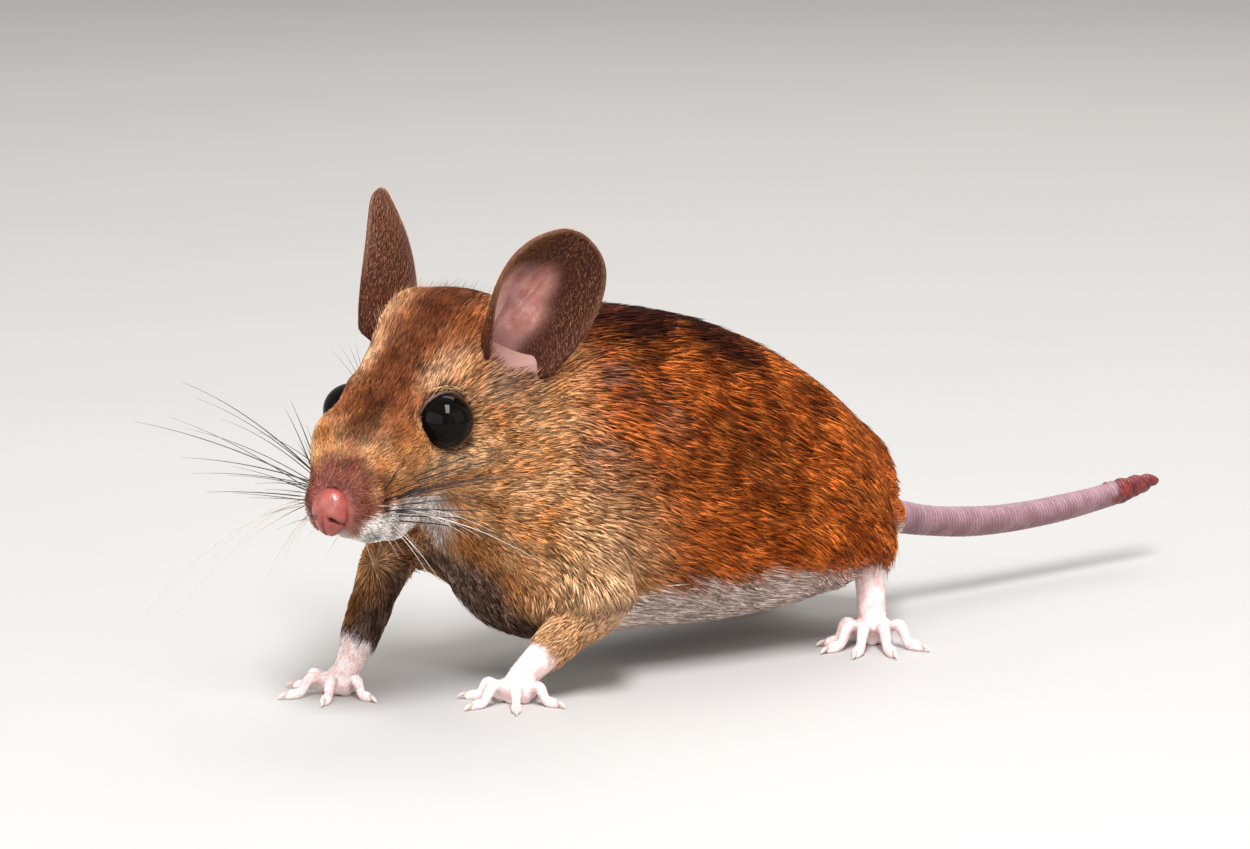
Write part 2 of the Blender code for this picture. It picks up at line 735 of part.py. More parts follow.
def loose_edges(mesh):
    """How many edges of the mesh don't lie between exactly two faces."""
    bm = bmesh.new()
    bm.from_mesh(mesh)
    count = sum(1 for edge in bm.edges if len(edge.link_faces) != 2)
    bm.free()
    return count


def thin_out(obj, triangles):
    """Leaves the object few faces, or a few more where fewer would open its surface."""
    bm = bmesh.new()
    bm.from_mesh(obj.data)
    bmesh.ops.triangulate(bm, faces=bm.faces)
    bm.to_mesh(obj.data)
    bm.free()
    whole = obj.data
    faces = len(whole.polygons)
    for attempt in range(20):
        obj.data = whole.copy()
        fewer = obj.modifiers.new("fewer faces", "DECIMATE")
        fewer.ratio = min(1.0, triangles * (1 + 0.03 * attempt) / faces)
        settle(obj)
        if not loose_edges(obj.data):
            return


def finish(objs, name):
    for obj in objs:
        obj.data.materials.clear()
        obj.data.materials.append(material(name))


def smooth_shaded(obj):
    obj.data.polygons.foreach_set("use_smooth", [True] * len(obj.data.polygons))
    obj.data.set_sharp_from_angle(angle=math.radians(50))


def centre_on_floor():
    """Moves every piece so that the soles are at Z = 0 below the middle of the whole animal's box."""
    points = [v.co for o in bpy.data.objects for v in o.data.vertices]
    low = [min(p[i] for p in points) for i in range(3)]
    high = [max(p[i] for p in points) for i in range(3)]
    move = Vector((-(low[0] + high[0]) / 2, -(low[1] + high[1]) / 2, -FLOOR * MM))
    for obj in bpy.data.objects:
        obj.data.transform(Matrix.Translation(move))


main()
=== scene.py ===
"""A life-size field mouse, standing alert on its four feet with its head turned a little to its left.

One skin stands for all the flesh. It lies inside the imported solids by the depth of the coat, and the coat is
made of short tapered tufts that follow the lie of the hair. Eyes, nose pad, claws and whiskers are pieces of
their own.

Lengths are in millimetres, counted from a floor point under the left forepaw, until Anatomy.row() puts them
into the row frame in metres. The mouse faces -Y, its left side is +X and +Z is up.
"""

from __future__ import annotations

import logging
import math
import sys
from dataclasses import dataclass, field
from enum import Enum

import bpy
import numpy as np
from mathutils import Matrix, Vector
from mathutils.bvhtree import BVHTree
from mathutils.kdtree import KDTree


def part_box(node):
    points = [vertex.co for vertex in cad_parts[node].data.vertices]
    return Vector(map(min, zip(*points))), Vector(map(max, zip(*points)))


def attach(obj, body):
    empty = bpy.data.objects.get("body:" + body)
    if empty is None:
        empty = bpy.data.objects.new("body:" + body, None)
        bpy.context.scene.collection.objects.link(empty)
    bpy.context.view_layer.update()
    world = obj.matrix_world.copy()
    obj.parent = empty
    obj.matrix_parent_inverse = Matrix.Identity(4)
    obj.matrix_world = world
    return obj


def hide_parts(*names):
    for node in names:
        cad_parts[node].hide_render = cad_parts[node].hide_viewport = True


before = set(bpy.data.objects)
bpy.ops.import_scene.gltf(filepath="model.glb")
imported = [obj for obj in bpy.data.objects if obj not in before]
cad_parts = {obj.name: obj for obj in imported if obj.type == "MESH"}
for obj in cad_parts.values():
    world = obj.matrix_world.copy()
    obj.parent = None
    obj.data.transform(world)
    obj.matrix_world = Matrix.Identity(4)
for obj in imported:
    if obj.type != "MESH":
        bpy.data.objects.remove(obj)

LOG = logging.getLogger("field mouse")
MM = 0.001
UNWRAP = "OFBake"
UP = np.array((0.0, 0.0, 1.0))
LEVEL = np.array((1.0, 1.0, 0.0))
FULL_TURN = 2 * math.pi
Array = np.ndarray
Item = bpy.types.Object
Mesh = bpy.types.Mesh
Point = tuple[float, float, float]
Colour = tuple[float, float, float]


# ---- small tools


def ramp(value: Array, low: float, high: float) -> Array:
    """A soft step.

    Args:
        value: The numbers to look at.
        low: Where the step starts.
        high: Where it ends.

    Returns:
        0 at or before low, 1 at or past high, and a smooth change between them.
    """
    share = np.clip((value - low) / (high - low), 0, 1)
    return share * share * (3.0 - 2.0 * share)


def blend(first: Array, second: Array, share: Array) -> Array:
    """Goes from the first numbers to the second by a share of 0 to 1."""
    return first + (second - first) * share


def unit(vectors: Array) -> Array:
    """The same directions with a length of 1."""
    return vectors / np.maximum(np.linalg.norm(vectors, axis=-1, keepdims=True), 1e-9)


def spot(places: tuple[Array, ...], middle: tuple[float, ...], spread: tuple[float, ...]) -> Array:
    """A soft spot.

    Args:
        places: One row of numbers for each direction that the spot is measured in.
        middle: Where its middle lies in each of them.
        spread: How far it spreads in each.

    Returns:
        1 at the middle, fading to 0 all round.
    """
    return np.exp(-sum(((p - m) / s) ** 2 for p, m, s in zip(places, middle, spread)))


def gap_to(points: Array, place: Array) -> Array:
    """How far points are from a place."""
    return np.linalg.norm(points - place, axis=1)


def carried(points: Array, matrix: Matrix) -> Array:
    """Points that a matrix carries from its own frame to the outer one."""
    carry = np.array(matrix)
    return points @ carry[:3, :3].T + carry[:3, 3]


def catmull(rows: Array, steps: int) -> Array:
    """Makes rows of numbers denser.

    Args:
        rows: The rows that the curve passes through.
        steps: How many steps lie between two of them.

    Returns:
        The rows of a Catmull-Rom curve.
    """
    rows = np.asarray(rows, float)
    padded = np.vstack([rows[:1], rows, rows[-1:]])
    out = []
    for i in range(len(rows) - 1):
        a, b, c, d = padded[i:i + 4]
        for t in np.arange(steps) / steps:
            out.append(0.5 * (2 * b + (c - a) * t + (2 * a - 5 * b + 4 * c - d) * t ** 2
                              + (3 * b - a - 3 * c + d) * t ** 3))
    out.append(rows[-1])
    return np.array(out)


def along_line(points: Array, line: Array) -> tuple[Array, Array, Array]:
    """How points lie beside a bent line.

    Args:
        points: The points.
        line: The corners of the line.

    Returns:
        The distance of each point, its share along the line from 0 to 1, and the line's direction there.
    """
    line = np.asarray(line, float)
    best = np.full(len(points), 1e9)
    share = np.zeros(len(points))
    way = np.zeros((len(points), 3))
    lengths = np.linalg.norm(np.diff(line, axis=0), axis=1)
    before = np.concatenate([[0.0], np.cumsum(lengths)])
    for i, length in enumerate(lengths):
        step = line[i + 1] - line[i]
        t = np.clip((points - line[i]) @ step / length ** 2, 0, 1)
        distance = np.linalg.norm(points - line[i] - t[:, None] * step, axis=1)
        nearer = distance < best
        best = np.where(nearer, distance, best)
        share = np.where(nearer, (before[i] + t * length) / before[-1], share)
        way[nearer] = step / length
    return best, share, way


@dataclass(frozen=True)
class Ripple:
    """A smooth random field that is the same on each run."""

    seed: int
    wavelength: float
    waves: int = 10

    def at(self, points: Array) -> Array:
        """The field at points, mostly between -1 and 1."""
        dice = np.random.default_rng(self.seed)
        ways = unit(dice.normal(size=(self.waves, 3)))
        ways *= FULL_TURN / (self.wavelength * dice.uniform(0.7, 1.6, (self.waves, 1)))
        phases = dice.uniform(0, FULL_TURN, self.waves)
        return np.sin(points @ ways.T + phases).sum(axis=1) / math.sqrt(self.waves)


def deselect() -> None:
    """Nothing is selected or active afterwards."""
    for obj in bpy.context.selected_objects:
        obj.select_set(False)
    bpy.context.view_layer.objects.active = None


def choose(obj: Item) -> None:
    """Makes one object the only selected and active one."""
    deselect()
    obj.select_set(True)
    bpy.context.view_layer.objects.active = obj


def apply_modifiers(obj: Item) -> Item:
    """Applies all modifiers of an object, in their order, and returns it."""
    choose(obj)
    for modifier in list(obj.modifiers):
        bpy.ops.object.modifier_apply(modifier=modifier.name)
    deselect()
    return obj


def soften(obj: Item, rounds: int) -> Item:
    """Evens out the surface of an object a number of times, and returns it."""
    softer = obj.modifiers.new("soften", "SMOOTH")
    softer.factor = 0.5
    softer.iterations = rounds
    return apply_modifiers(obj)


def melt(obj: Item, square: float, rounds: int) -> Item:
    """Melts all that an object holds into one surface.

    Args:
        obj: The object.
        square: How wide a square of the new surface is, in millimetres.
        rounds: How many times the surface is evened out.

    Returns:
        The object.
    """
    surface = obj.modifiers.new("melt", "REMESH")
    surface.mode = "VOXEL"
    surface.voxel_size = square * MM
    return soften(obj, rounds)


def weld(obj: Item, reach: float, face_out: bool = False) -> None:
    """Merges points nearer than a reach in millimetres, and turns the faces outwards where that is asked."""
    choose(obj)
    bpy.ops.object.mode_set(mode="EDIT")
    bpy.ops.mesh.select_all(action="SELECT")
    bpy.ops.mesh.remove_doubles(threshold=reach * MM)
    if face_out:
        bpy.ops.mesh.normals_make_consistent(inside=False)
    bpy.ops.object.mode_set(mode="OBJECT")
    deselect()


def shade_smooth(obj: Item) -> None:
    """Shades an object as one smooth surface."""
    choose(obj)
    bpy.ops.object.shade_smooth()
    deselect()


def join(objs: list[Item], name: str) -> Item:
    """Joins objects into the first one and gives it a name."""
    deselect()
    for obj in objs:
        obj.select_set(True)
    bpy.context.view_layer.objects.active = objs[0]
    if len(objs) > 1:
        bpy.ops.object.join()
    deselect()
    objs[0].name = objs[0].data.name = name
    return objs[0]


def place(name: str, data: bpy.types.ID) -> Item:
    """Puts a mesh, a light or a camera into the scene as an object."""
    obj = bpy.data.objects.new(name, data)
    bpy.context.scene.collection.objects.link(obj)
    return obj


def mesh_object(name: str, points: Array, faces: Array) -> Item:
    """Makes an object from arrays.

    Args:
        name: Its name.
        points: Its points, in metres.
        faces: Its faces, each a row of three or four point numbers.

    Returns:
        The object, smooth shaded.
    """
    mesh = bpy.data.meshes.new(name)
    count, corners = faces.shape
    mesh.vertices.add(len(points))
    mesh.vertices.foreach_set("co", np.ascontiguousarray(points, np.float32).ravel())
    mesh.loops.add(count * corners)
    mesh.loops.foreach_set("vertex_index", np.ascontiguousarray(faces, np.int32).ravel())
    mesh.polygons.add(count)
    mesh.polygons.foreach_set("loop_start", np.arange(0, count * corners, corners, dtype=np.int32))
    mesh.polygons.foreach_set("use_smooth", np.ones(count, bool))
    mesh.update(calc_edges=True)
    mesh.validate()
    return place(name, mesh)


def threes(items: bpy.types.bpy_prop_collection, name: str, kind: type = np.float32) -> Array:
    """The three numbers that each item keeps under a name, as rows."""
    flat = np.empty(len(items) * 3, kind)
    items.foreach_get(name, flat)
    return flat.reshape(-1, 3)


def points_of(mesh: Mesh) -> Array:
    """The points of a mesh, as rows."""
    return threes(mesh.vertices, "co").astype(float)


def normals_of(mesh: Mesh) -> Array:
    """The directions that the points of a mesh face, as rows."""
    return threes(mesh.vertex_normals, "vector").astype(float)


def triangles_of(mesh: Mesh) -> Array:
    """The triangles of a mesh, each a row of three point numbers."""
    mesh.calc_loop_triangles()
    return threes(mesh.loop_triangles, "vertices", np.int32)


def put_points(mesh: Mesh, points: Array) -> None:
    """Moves the points of a mesh to new places."""
    mesh.vertices.foreach_set("co", np.ascontiguousarray(points, np.float32).ravel())
    mesh.update()


def keep_numbers(mesh: Mesh, name: str, *rows: Array) -> None:
    """Keeps up to three rows of numbers for the points of a mesh, under a name that a finish can read."""
    values = np.zeros((len(mesh.vertices), 3), np.float32)
    for column, row in enumerate(rows):
        values[:, column] = row
    layer = mesh.attributes.new(name, "FLOAT_VECTOR", "POINT")
    layer.data.foreach_set("vector", values.ravel())


def balls(centres: Array, radii: Array, name: str, detail: int = 2) -> Item:
    """Many small balls as one mesh.

    Args:
        centres: Their centres, in metres.
        radii: Their radii, in metres.
        name: The name of the object.
        detail: How finely each ball is divided.

    Returns:
        The object.
    """
    deselect()
    bpy.ops.mesh.primitive_ico_sphere_add(subdivisions=detail, radius=1.0, location=(0, 0, 0))
    ball = bpy.context.object
    shape, faces = points_of(ball.data), triangles_of(ball.data)
    bpy.data.objects.remove(ball)
    points = (centres[:, None, :] + shape[None] * radii[:, None, None]).reshape(-1, 3)
    numbers = faces[None] + (np.arange(len(centres)) * len(shape))[:, None, None]
    return mesh_object(name, points, numbers.reshape(-1, 3))


def tube(line: Array, radii: Array, sides: int, name: str) -> Item:
    """A round tube along a line, closed at both ends.

    Args:
        line: The points along its middle, in metres.
        radii: Its radius at each of them. An end of 0 makes a point.
        sides: How many sides it has.
        name: The name of the object.

    Returns:
        The object.
    """
    ways = unit(np.gradient(line, axis=0))
    across = unit(np.cross(ways[0], [0.0, 0.31, 0.95] if abs(ways[0][2]) < 0.9 else [1.0, 0.0, 0.0]))
    rings = []
    for centre, way, radius in zip(line, ways, radii):
        across = unit(across - way * (across @ way))
        other = np.cross(way, across)
        turn = np.arange(sides) * FULL_TURN / sides
        rings.append(centre + radius * (np.cos(turn)[:, None] * across + np.sin(turn)[:, None] * other))
    points = np.vstack([*rings, line[:1], line[-1:]])
    faces = []
    k = np.arange(sides)
    after = (k + 1) % sides
    for i in range(len(line) - 1):
        low, high = i * sides, (i + 1) * sides
        faces.append(np.stack([low + k, low + after, high + after], axis=1))
        faces.append(np.stack([low + k, high + after, high + k], axis=1))
    last = (len(line) - 1) * sides
    faces.append(np.stack([after, k, np.full(sides, len(points) - 2)], axis=1))
    faces.append(np.stack([last + k, last + after, np.full(sides, len(points) - 1)], axis=1))
    return mesh_object(name, points, np.vstack(faces))


# ---- where things are


class Side(Enum):
    """The two sides of the animal, by its own left and right."""

    LEFT = "left"
    RIGHT = "right"

    @property
    def way(self) -> int:
        """1 for the left side, which is +X, and -1 for the right side."""
        return 1 if self is Side.LEFT else -1


class PawKind(Enum):
    """The two kinds of foot."""

    FORE = "forepaw"
    HIND = "hindfoot"


FEET = [(kind, side) for kind in PawKind for side in Side]


def by_side(left: object, right: object) -> object:
    """A field that holds one value for each side."""
    return field(default_factory=lambda: {Side.LEFT: left, Side.RIGHT: right})


def by_foot(*values: object) -> object:
    """A field that holds one value for each foot: left and right forepaw, then left and right hindfoot."""
    return field(default_factory=lambda: dict(zip(FEET, values)))


@dataclass
class Anatomy:
    """The places and sizes that all the pieces share, in millimetres from the floor by the left forepaw."""

    head_at: Point = (1.6, -8.6, 29.7)
    head_turn: float = 15.0
    head_nod: float = 17.0
    head_tilt: float = 5.0
    eye_at: Point = (5.7, 0.0, 0.2)
    eye_radius: float = 2.80
    eye_way: Point = (0.93, -0.34, 0.16)
    eye_shift: dict[Side, Point] = by_side((0.36, -0.05, -0.18), (-0.45, -0.30, -1.20))
    nose_at: Point = (0.0, -11.9, -5.6)
    pad_at: Point = (4.7, -8.5, -6.4)
    pad_radii: Point = (2.5, 3.2, 2.8)
    ear_root: Point = (5.6, 11.2, 3.2)
    head_cut: tuple[Point, Point] = ((0.0, 4.6, 25.0), (0.2, -0.925, 0.324))
    forelegs: dict[Side, tuple[Point, ...]] = by_side(
        ((8.6, 6.5, 17.0), (11.6, 9.6, 10.0), (10.6, 5.4, 6.4), (9.6, 1.4, 3.0)),
        ((-8.2, 5.0, 17.5), (-7.9, -1.9, 13.4), (-6.3, -5.9, 8.4), (-5.0, -9.7, 3.0)),
    )
    hindlegs: dict[Side, tuple[Point, ...]] = by_side(
        ((11.4, 37.6, 12.6), (11.2, 45.0, 12.6), (9.8, 47.6, 10.6), (12.4, 46.0, 2.1)),
        ((-11.2, 38.4, 12.6), (-10.8, 47.0, 11.4), (-10.0, 53.2, 8.0), (-10.0, 48.0, 2.1)),
    )
    fur_ends: dict[tuple[PawKind, Side], tuple[Point, Point]] = by_foot(
        ((10.3, 4.2, 5.4), (2.0, 8.2, 7.0)),
        ((-5.9, -7.4, 6.0), (1.6, 5.2, 8.0)),
        ((9.9, 47.5, 9.2), (0.0, 0.0, 1.0)),
        ((-10.0, 52.8, 7.6), (0.0, 0.35, 1.0)),
    )
    palms: dict[tuple[PawKind, Side], Point] = by_foot(
        (9.2, 0.4, 1.7), (-5.0, -11.0, 1.7), (12.4, 46.0, 2.1), (-10.0, 48.0, 2.1)
    )
    shift: Array = field(init=False)

    def __post_init__(self) -> None:
        """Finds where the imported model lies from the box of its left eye."""
        low, high = (np.array(corner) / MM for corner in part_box("eye_left"))
        self.shift = (low + high) / 2 - self.from_head(np.array([self.eye_at]))[0]

    def head_matrix(self) -> Matrix:
        """Carries points of the head's own frame to the animal's."""
        turn = (
            Matrix.Rotation(math.radians(self.head_turn), 4, "Z")
            @ Matrix.Rotation(math.radians(self.head_nod), 4, "X")
            @ Matrix.Rotation(math.radians(self.head_tilt), 4, "Y")
        )
        return Matrix.Translation(self.head_at) @ turn

    def from_head(self, points: Array) -> Array:
        """Points of the head's own frame in the animal's frame."""
        return carried(points, self.head_matrix())

    def to_head(self, points: Array) -> Array:
        """Points of the animal's frame in the head's own frame."""
        carry = np.array(self.head_matrix())
        return (points - carry[:3, 3]) @ carry[:3, :3]

    def turn_from_head(self, vectors: Array) -> Array:
        """Directions of the head's own frame in the animal's frame."""
        return vectors @ np.array(self.head_matrix())[:3, :3].T

    def row(self, points: Array) -> Array:
        """Points in the row frame, in metres."""
        return (np.asarray(points, float) + self.shift) * MM

    def mm(self, points: Array) -> Array:
        """Row frame points back in millimetres of the animal's frame."""
        return np.asarray(points, float) / MM - self.shift

    def headness(self, points: Array) -> Array:
        """1 on the head, 0 on the trunk, with a soft change at the nape and throat."""
        point, normal = (np.array(v) for v in self.head_cut)
        return ramp((points - point) @ unit(normal), -3, 3)

    def footness(self, points: Array) -> Array:
        """1 on the bare feet, 0 where the coat has begun."""
        bare = np.zeros(len(points))
        for key, (start, up) in self.fur_ends.items():
            palm = np.array(self.palms[key])
            below = ramp((np.array(start) - points) @ unit(np.array(up)), -0.7, 0.7)
            shank, _, _ = along_line(points, np.array([start, palm]))
            beside = gap_to(points[:, :2], palm[:2])
            near = np.maximum(1 - ramp(shank, 3, 3.8),
                              (1 - ramp(beside, 8, 8.6)) * (1 - ramp(points[:, 2], 3.8, 4.8)))
            bare = np.maximum(bare, below * near)
        return bare

    def beside(self, side: Side, place: Point) -> Array:
        """A place of the head's left half in the head's own frame, or its mirror image for the right side."""
        return np.array(place) * (side.way, 1, 1)

    def eye(self, side: Side) -> Array:
        """The middle of one eye in the head's own frame."""
        return self.beside(side, np.add(self.eye_at, self.eye_shift[side]))

    def gaze(self, side: Side) -> Array:
        """The direction in which one eye bulges, in the head's own frame."""
        return self.beside(side, self.eye_way)

    def legness(self, points: Array) -> tuple[Array, Array]:
        """How much points belong to the slim part of a leg, and which way is down it."""
        best = np.zeros(len(points))
        way = np.zeros((len(points), 3))
        for lines, width, top in ((self.forelegs, 4.2, 13.0), (self.hindlegs, 4.4, 12.5)):
            for line in lines.values():
                distance, _, ways = along_line(points, np.array(line[1:]))
                share = (1 - ramp(distance, width * 0.8, width * 1.35)) * ramp(top - points[:, 2], 0, 3.5)
                nearer = share > best
                best = np.where(nearer, share, best)
                way[nearer] = ways[nearer]
        return best, way


@dataclass(frozen=True)
class Spot:
    """A soft spot of colour: its middle, how far it spreads along each axis, and how strong it is."""

    middle: Point
    spread: Point
    strength: float = 1.0

    def at(self, *places: Array) -> Array:
        """How strong the spot is at places, given as rows of x, y and z."""
        return self.strength * spot(places, self.middle, self.spread)


@dataclass
class Places:
    """Points of the body, in millimetres of the animal's frame, with all that the markings ask about them."""

    anatomy: Anatomy
    points: Array
    normals: Array

    def __post_init__(self) -> None:
        """Works out where the points lie on the head and legs, and how the edges of marks waver there."""
        self.x, self.y, self.z = self.points.T
        self.head = self.anatomy.headness(self.points)
        self.in_head = self.anatomy.to_head(self.points)
        self.hx, self.hy, self.hz = self.in_head.T
        self.wide = np.abs(self.hx)
        self.leg, _ = self.anatomy.legness(self.points)
        self.soft, self.fine = Ripple(3, 9.0).at(self.points), Ripple(5, 2.6).at(self.points)


@dataclass
class Markings:
    """Where the colours of skin and coat lie. The same masks colour both."""

    anatomy: Anatomy
    white_from: float = 10.5
    brow: Spot = Spot((5.2, 0.6, 4.1), (1.9, 3.0, 1.5), 1.1)
    under_eye: Spot = Spot((6.5, -1.6, -3.9), (2.2, 3.6, 1.6), 1.1)
    by_ear: Spot = Spot((-5.4, 8.0, 4.6), (2.2, 2.6, 2.4), 0.6)
    arm: Spot = Spot((12.0, 7.0, 13.0), (4.5, 6.0, 8.0), 0.85)
    temple: Spot = Spot((5.6, 7.0, 5.8), (2.5, 3.4, 3.0))
    grey_tufts: tuple[Point, ...] = (
        (10.6, 7.5, 26.1), (8.8, 11.5, 32.5), (11.2, 16.2, 28.7), (11.9, 8.0, 22.6)
    )
    lid_width: tuple[float, float] = (0.10, 0.34)
    kept_as: dict[str, tuple[str, str, str]] = field(default_factory=lambda: {
        "marks_back": ("rust", "dark", "grey"), "marks_belly": ("under", "white", "pale"),
        "marks_bare": ("pink", "foot", "rim"), "marks_front": ("temple", "breast", "mauve"),
    })

    def masks(self, points: Array, normals: Array) -> dict[str, Array]:
        """How strong each colour is.

        Args:
            points: Points of the body, in millimetres of the animal's frame.
            normals: The directions that they face.

        Returns:
            A number from 0 to 1 for each point, under the name of each mark.
        """
        at = Places(self.anatomy, points, normals)
        white = self.lip(at)
        under, breast = self.below(at)
        under *= 1 - white
        made = {"under": under, "white": white, "breast": breast}
        made.update(self.back(at, under))
        made.update(self.face(at, under))
        made.update(self.bare(at, white))
        return made

    def lip(self, at: Places) -> Array:
        """The white of lip and chin, from the mouth line down and no wider than the muzzle."""
        behind = np.maximum(at.hy + 6.0, 0.0)
        notch = 2.0 * (1 - ramp(at.wide, 2.2, 3.8)) * ramp(-at.hy, 8.5, 10.5)
        beside = np.maximum(at.wide - 5.0, 0.0)
        lip = ramp(-at.hz - notch - 0.45 * behind - 0.22 * beside + 0.3 * at.fine, 5.1, 6.3)
        white = at.head * lip * (1 - ramp(-at.hz + 0.6 * at.fine, 12, 15.5))
        return white * (1 - ramp(at.wide + 0.42 * behind + 0.6 * at.fine, 5.4, 7.4))

    def below(self, at: Places) -> tuple[Array, Array]:
        """The pale underside with the insides of the legs, and the dark breast between the forelegs, which is
        painted shade.
        """
        edge = self.white_from - 0.02 * (at.y - 20.0) + 0.7 * at.soft + 0.5 * at.fine
        under = (1 - ramp(at.z - edge, -1.1, 1.3)) * ramp(at.y, 6, 14) * (1 - 0.5 * at.leg)
        # The dark breast is painted shade: the chest between the forelegs is darkened as if in shadow.
        breast = 1 - ramp(np.abs(at.x + 0.3) + 0.5 * at.soft + 0.5 * at.fine, 4.2, 6.6)
        breast *= ramp(16.5 - at.z + at.soft, 0, 3)
        breast *= 1 - ramp(at.y, 6, 14)
        inner = ramp(-np.sign(at.x) * at.normals[:, 0] + 0.2 * at.fine, 0.1, 0.7)
        inner = at.leg * inner * ramp(11.0 - at.z, 0, 4)
        return np.maximum(under, 0.7 * inner), breast

    def back(self, at: Places, under: Array) -> dict[str, Array]:
        """The rust of the trunk, and the dark of back, blotches, right foreleg, crown and snout. On the right
        foreleg the dark is partly its own brown fur and partly painted shade.
        """
        trunk = 1 - at.head
        rust = trunk * ramp(at.y + 0.65 * (at.z - 20.0) + 1.6 * at.soft, 3, 18)
        dark = trunk * ramp(at.normals[:, 2] + 0.14 * at.soft + 0.05 * at.fine, 0.42, 0.92)
        dark *= ramp(at.y, 4, 10)
        dark *= 1 - 0.75 * ramp(at.y, 26, 42)
        blotch = trunk * ramp(Ripple(11, 6.5).at(at.points) + 0.45 * at.fine, 0.6, 1.6) * (1 - under)
        deep = spot((at.y, at.z), (24.0, 24.0), (9.0, 7.0))
        dark = np.maximum(dark, np.maximum(0.5 * blotch, 0.5 * deep) * rust)
        # Right foreleg only: partly its own brown fur, partly painted shade.
        dark = np.maximum(dark, 0.55 * at.leg * (at.x < 0) * ramp(14.0 - at.y, 0, 4))
        crown = ramp(3.0 + 0.10 * (at.hy - 2.0) - at.wide + 0.7 * at.fine + 0.3 * at.soft, 0, 2.2)
        crown *= ramp(at.hz, 0, 2.4)
        crown *= ramp(at.hy, -8, 2) * (1 - 0.25 * ramp(at.hy, 12, 18))
        bridge = ramp(2.6 - at.wide + 0.6 * at.fine, 0, 1.6) * ramp(at.hz + 0.35 * at.hy, -5, -3)
        bridge *= ramp(-at.hy, -1, 3)
        snout = 0.62 * bridge * ramp(8.5 + at.hy, 0, 2)
        dark = np.maximum(dark, at.head * np.maximum(0.58 * crown, snout))
        return {"rust": rust, "dark": np.clip(dark, 0, 1)}

    def face(self, at: Places, under: Array) -> dict[str, Array]:
        """The pale, grey and brown patches of the head, and the pale and grey ones of arm and shoulder."""
        own = (at.wide, at.hy, at.hz)
        pale = at.head * (self.brow.at(*own) + self.under_eye.at(*own) + self.by_ear.at(at.hx, at.hy, at.hz))
        pale = np.clip(pale + self.arm.at(np.abs(at.x), at.y, at.z) * (at.x > 0) * (1 - at.head), 0, 1)
        cheek = spot((at.hy, at.hz), (6.4, 0.9), (3.0, 2.2)) * ramp(at.wide, 5, 7)
        tufts = sum(np.exp(-((np.abs(at.x) - x) ** 2 + (at.y - y) ** 2 + (at.z - z) ** 2) / 5.5)
                    for x, y, z in self.grey_tufts)
        grey = 0.7 * at.head * cheek + 0.85 * tufts * ramp(1.1 + at.fine, 0, 1.4)
        gold = (1 - ramp(at.wide + 0.5 * at.fine, 4.4, 6.6)) * ramp(at.hz + 0.4 * at.hy, -5, -2)
        gold *= ramp(at.hz, -2, 2)
        temple = at.head * np.clip(np.maximum(self.temple.at(*own), 0.85 * gold), 0, 1)
        return {"pale": pale, "grey": np.clip(grey, 0, 1) * (1 - under), "temple": temple}

    def bare(self, at: Places, white: Array) -> dict[str, Array]:
        """The pink round the nose, in the ears and on the feet, and the dark rims of the eyes."""
        a = self.anatomy
        tip = np.linalg.norm((at.in_head - np.array(a.nose_at)) * (1.0, 1.0, 0.9), axis=1) + 0.4 * at.fine
        snout = (1 - white) * at.head
        pink = snout * (1 - ramp(tip, 2, 3.4))
        mauve = 0.9 * snout * (1 - ramp(tip + 0.6 * at.fine, 3.6, 7))
        foot, rim = a.footness(at.points), np.zeros(len(at.points))
        inner, outer = (a.eye_radius + width for width in self.lid_width)
        for side in Side:
            _, open_ear = Ear(a, side).bowl(at.points)
            pink = np.maximum(pink, 0.75 * open_ear)
            foot = np.maximum(foot, 0.24 * open_ear)
            rim = np.maximum(rim, 1 - ramp(gap_to(at.in_head, a.eye(side)), inner, outer))
        return {"pink": pink, "foot": foot, "mauve": mauve, "rim": rim}

    def store(self, mesh: Mesh, points: Array, normals: Array, repeat: int = 1) -> None:
        """Keeps the marks on a mesh.

        Args:
            mesh: The mesh.
            points: The place that each point of the mesh takes its marks from.
            normals: The directions that those places face.
            repeat: How many points in a row share each place. They do so on tufts, which are little tinted by
                the colour of the feet.
        """
        made = self.masks(points, normals)
        made["foot"] = made["foot"] * (0.15 if repeat > 1 else 1.0)
        for name, parts in self.kept_as.items():
            keep_numbers(mesh, name, *(np.repeat(made[part], repeat) for part in parts))


# ---- finishes


Socket = bpy.types.NodeSocket
Input = bpy.types.NodeSocket | Colour | float


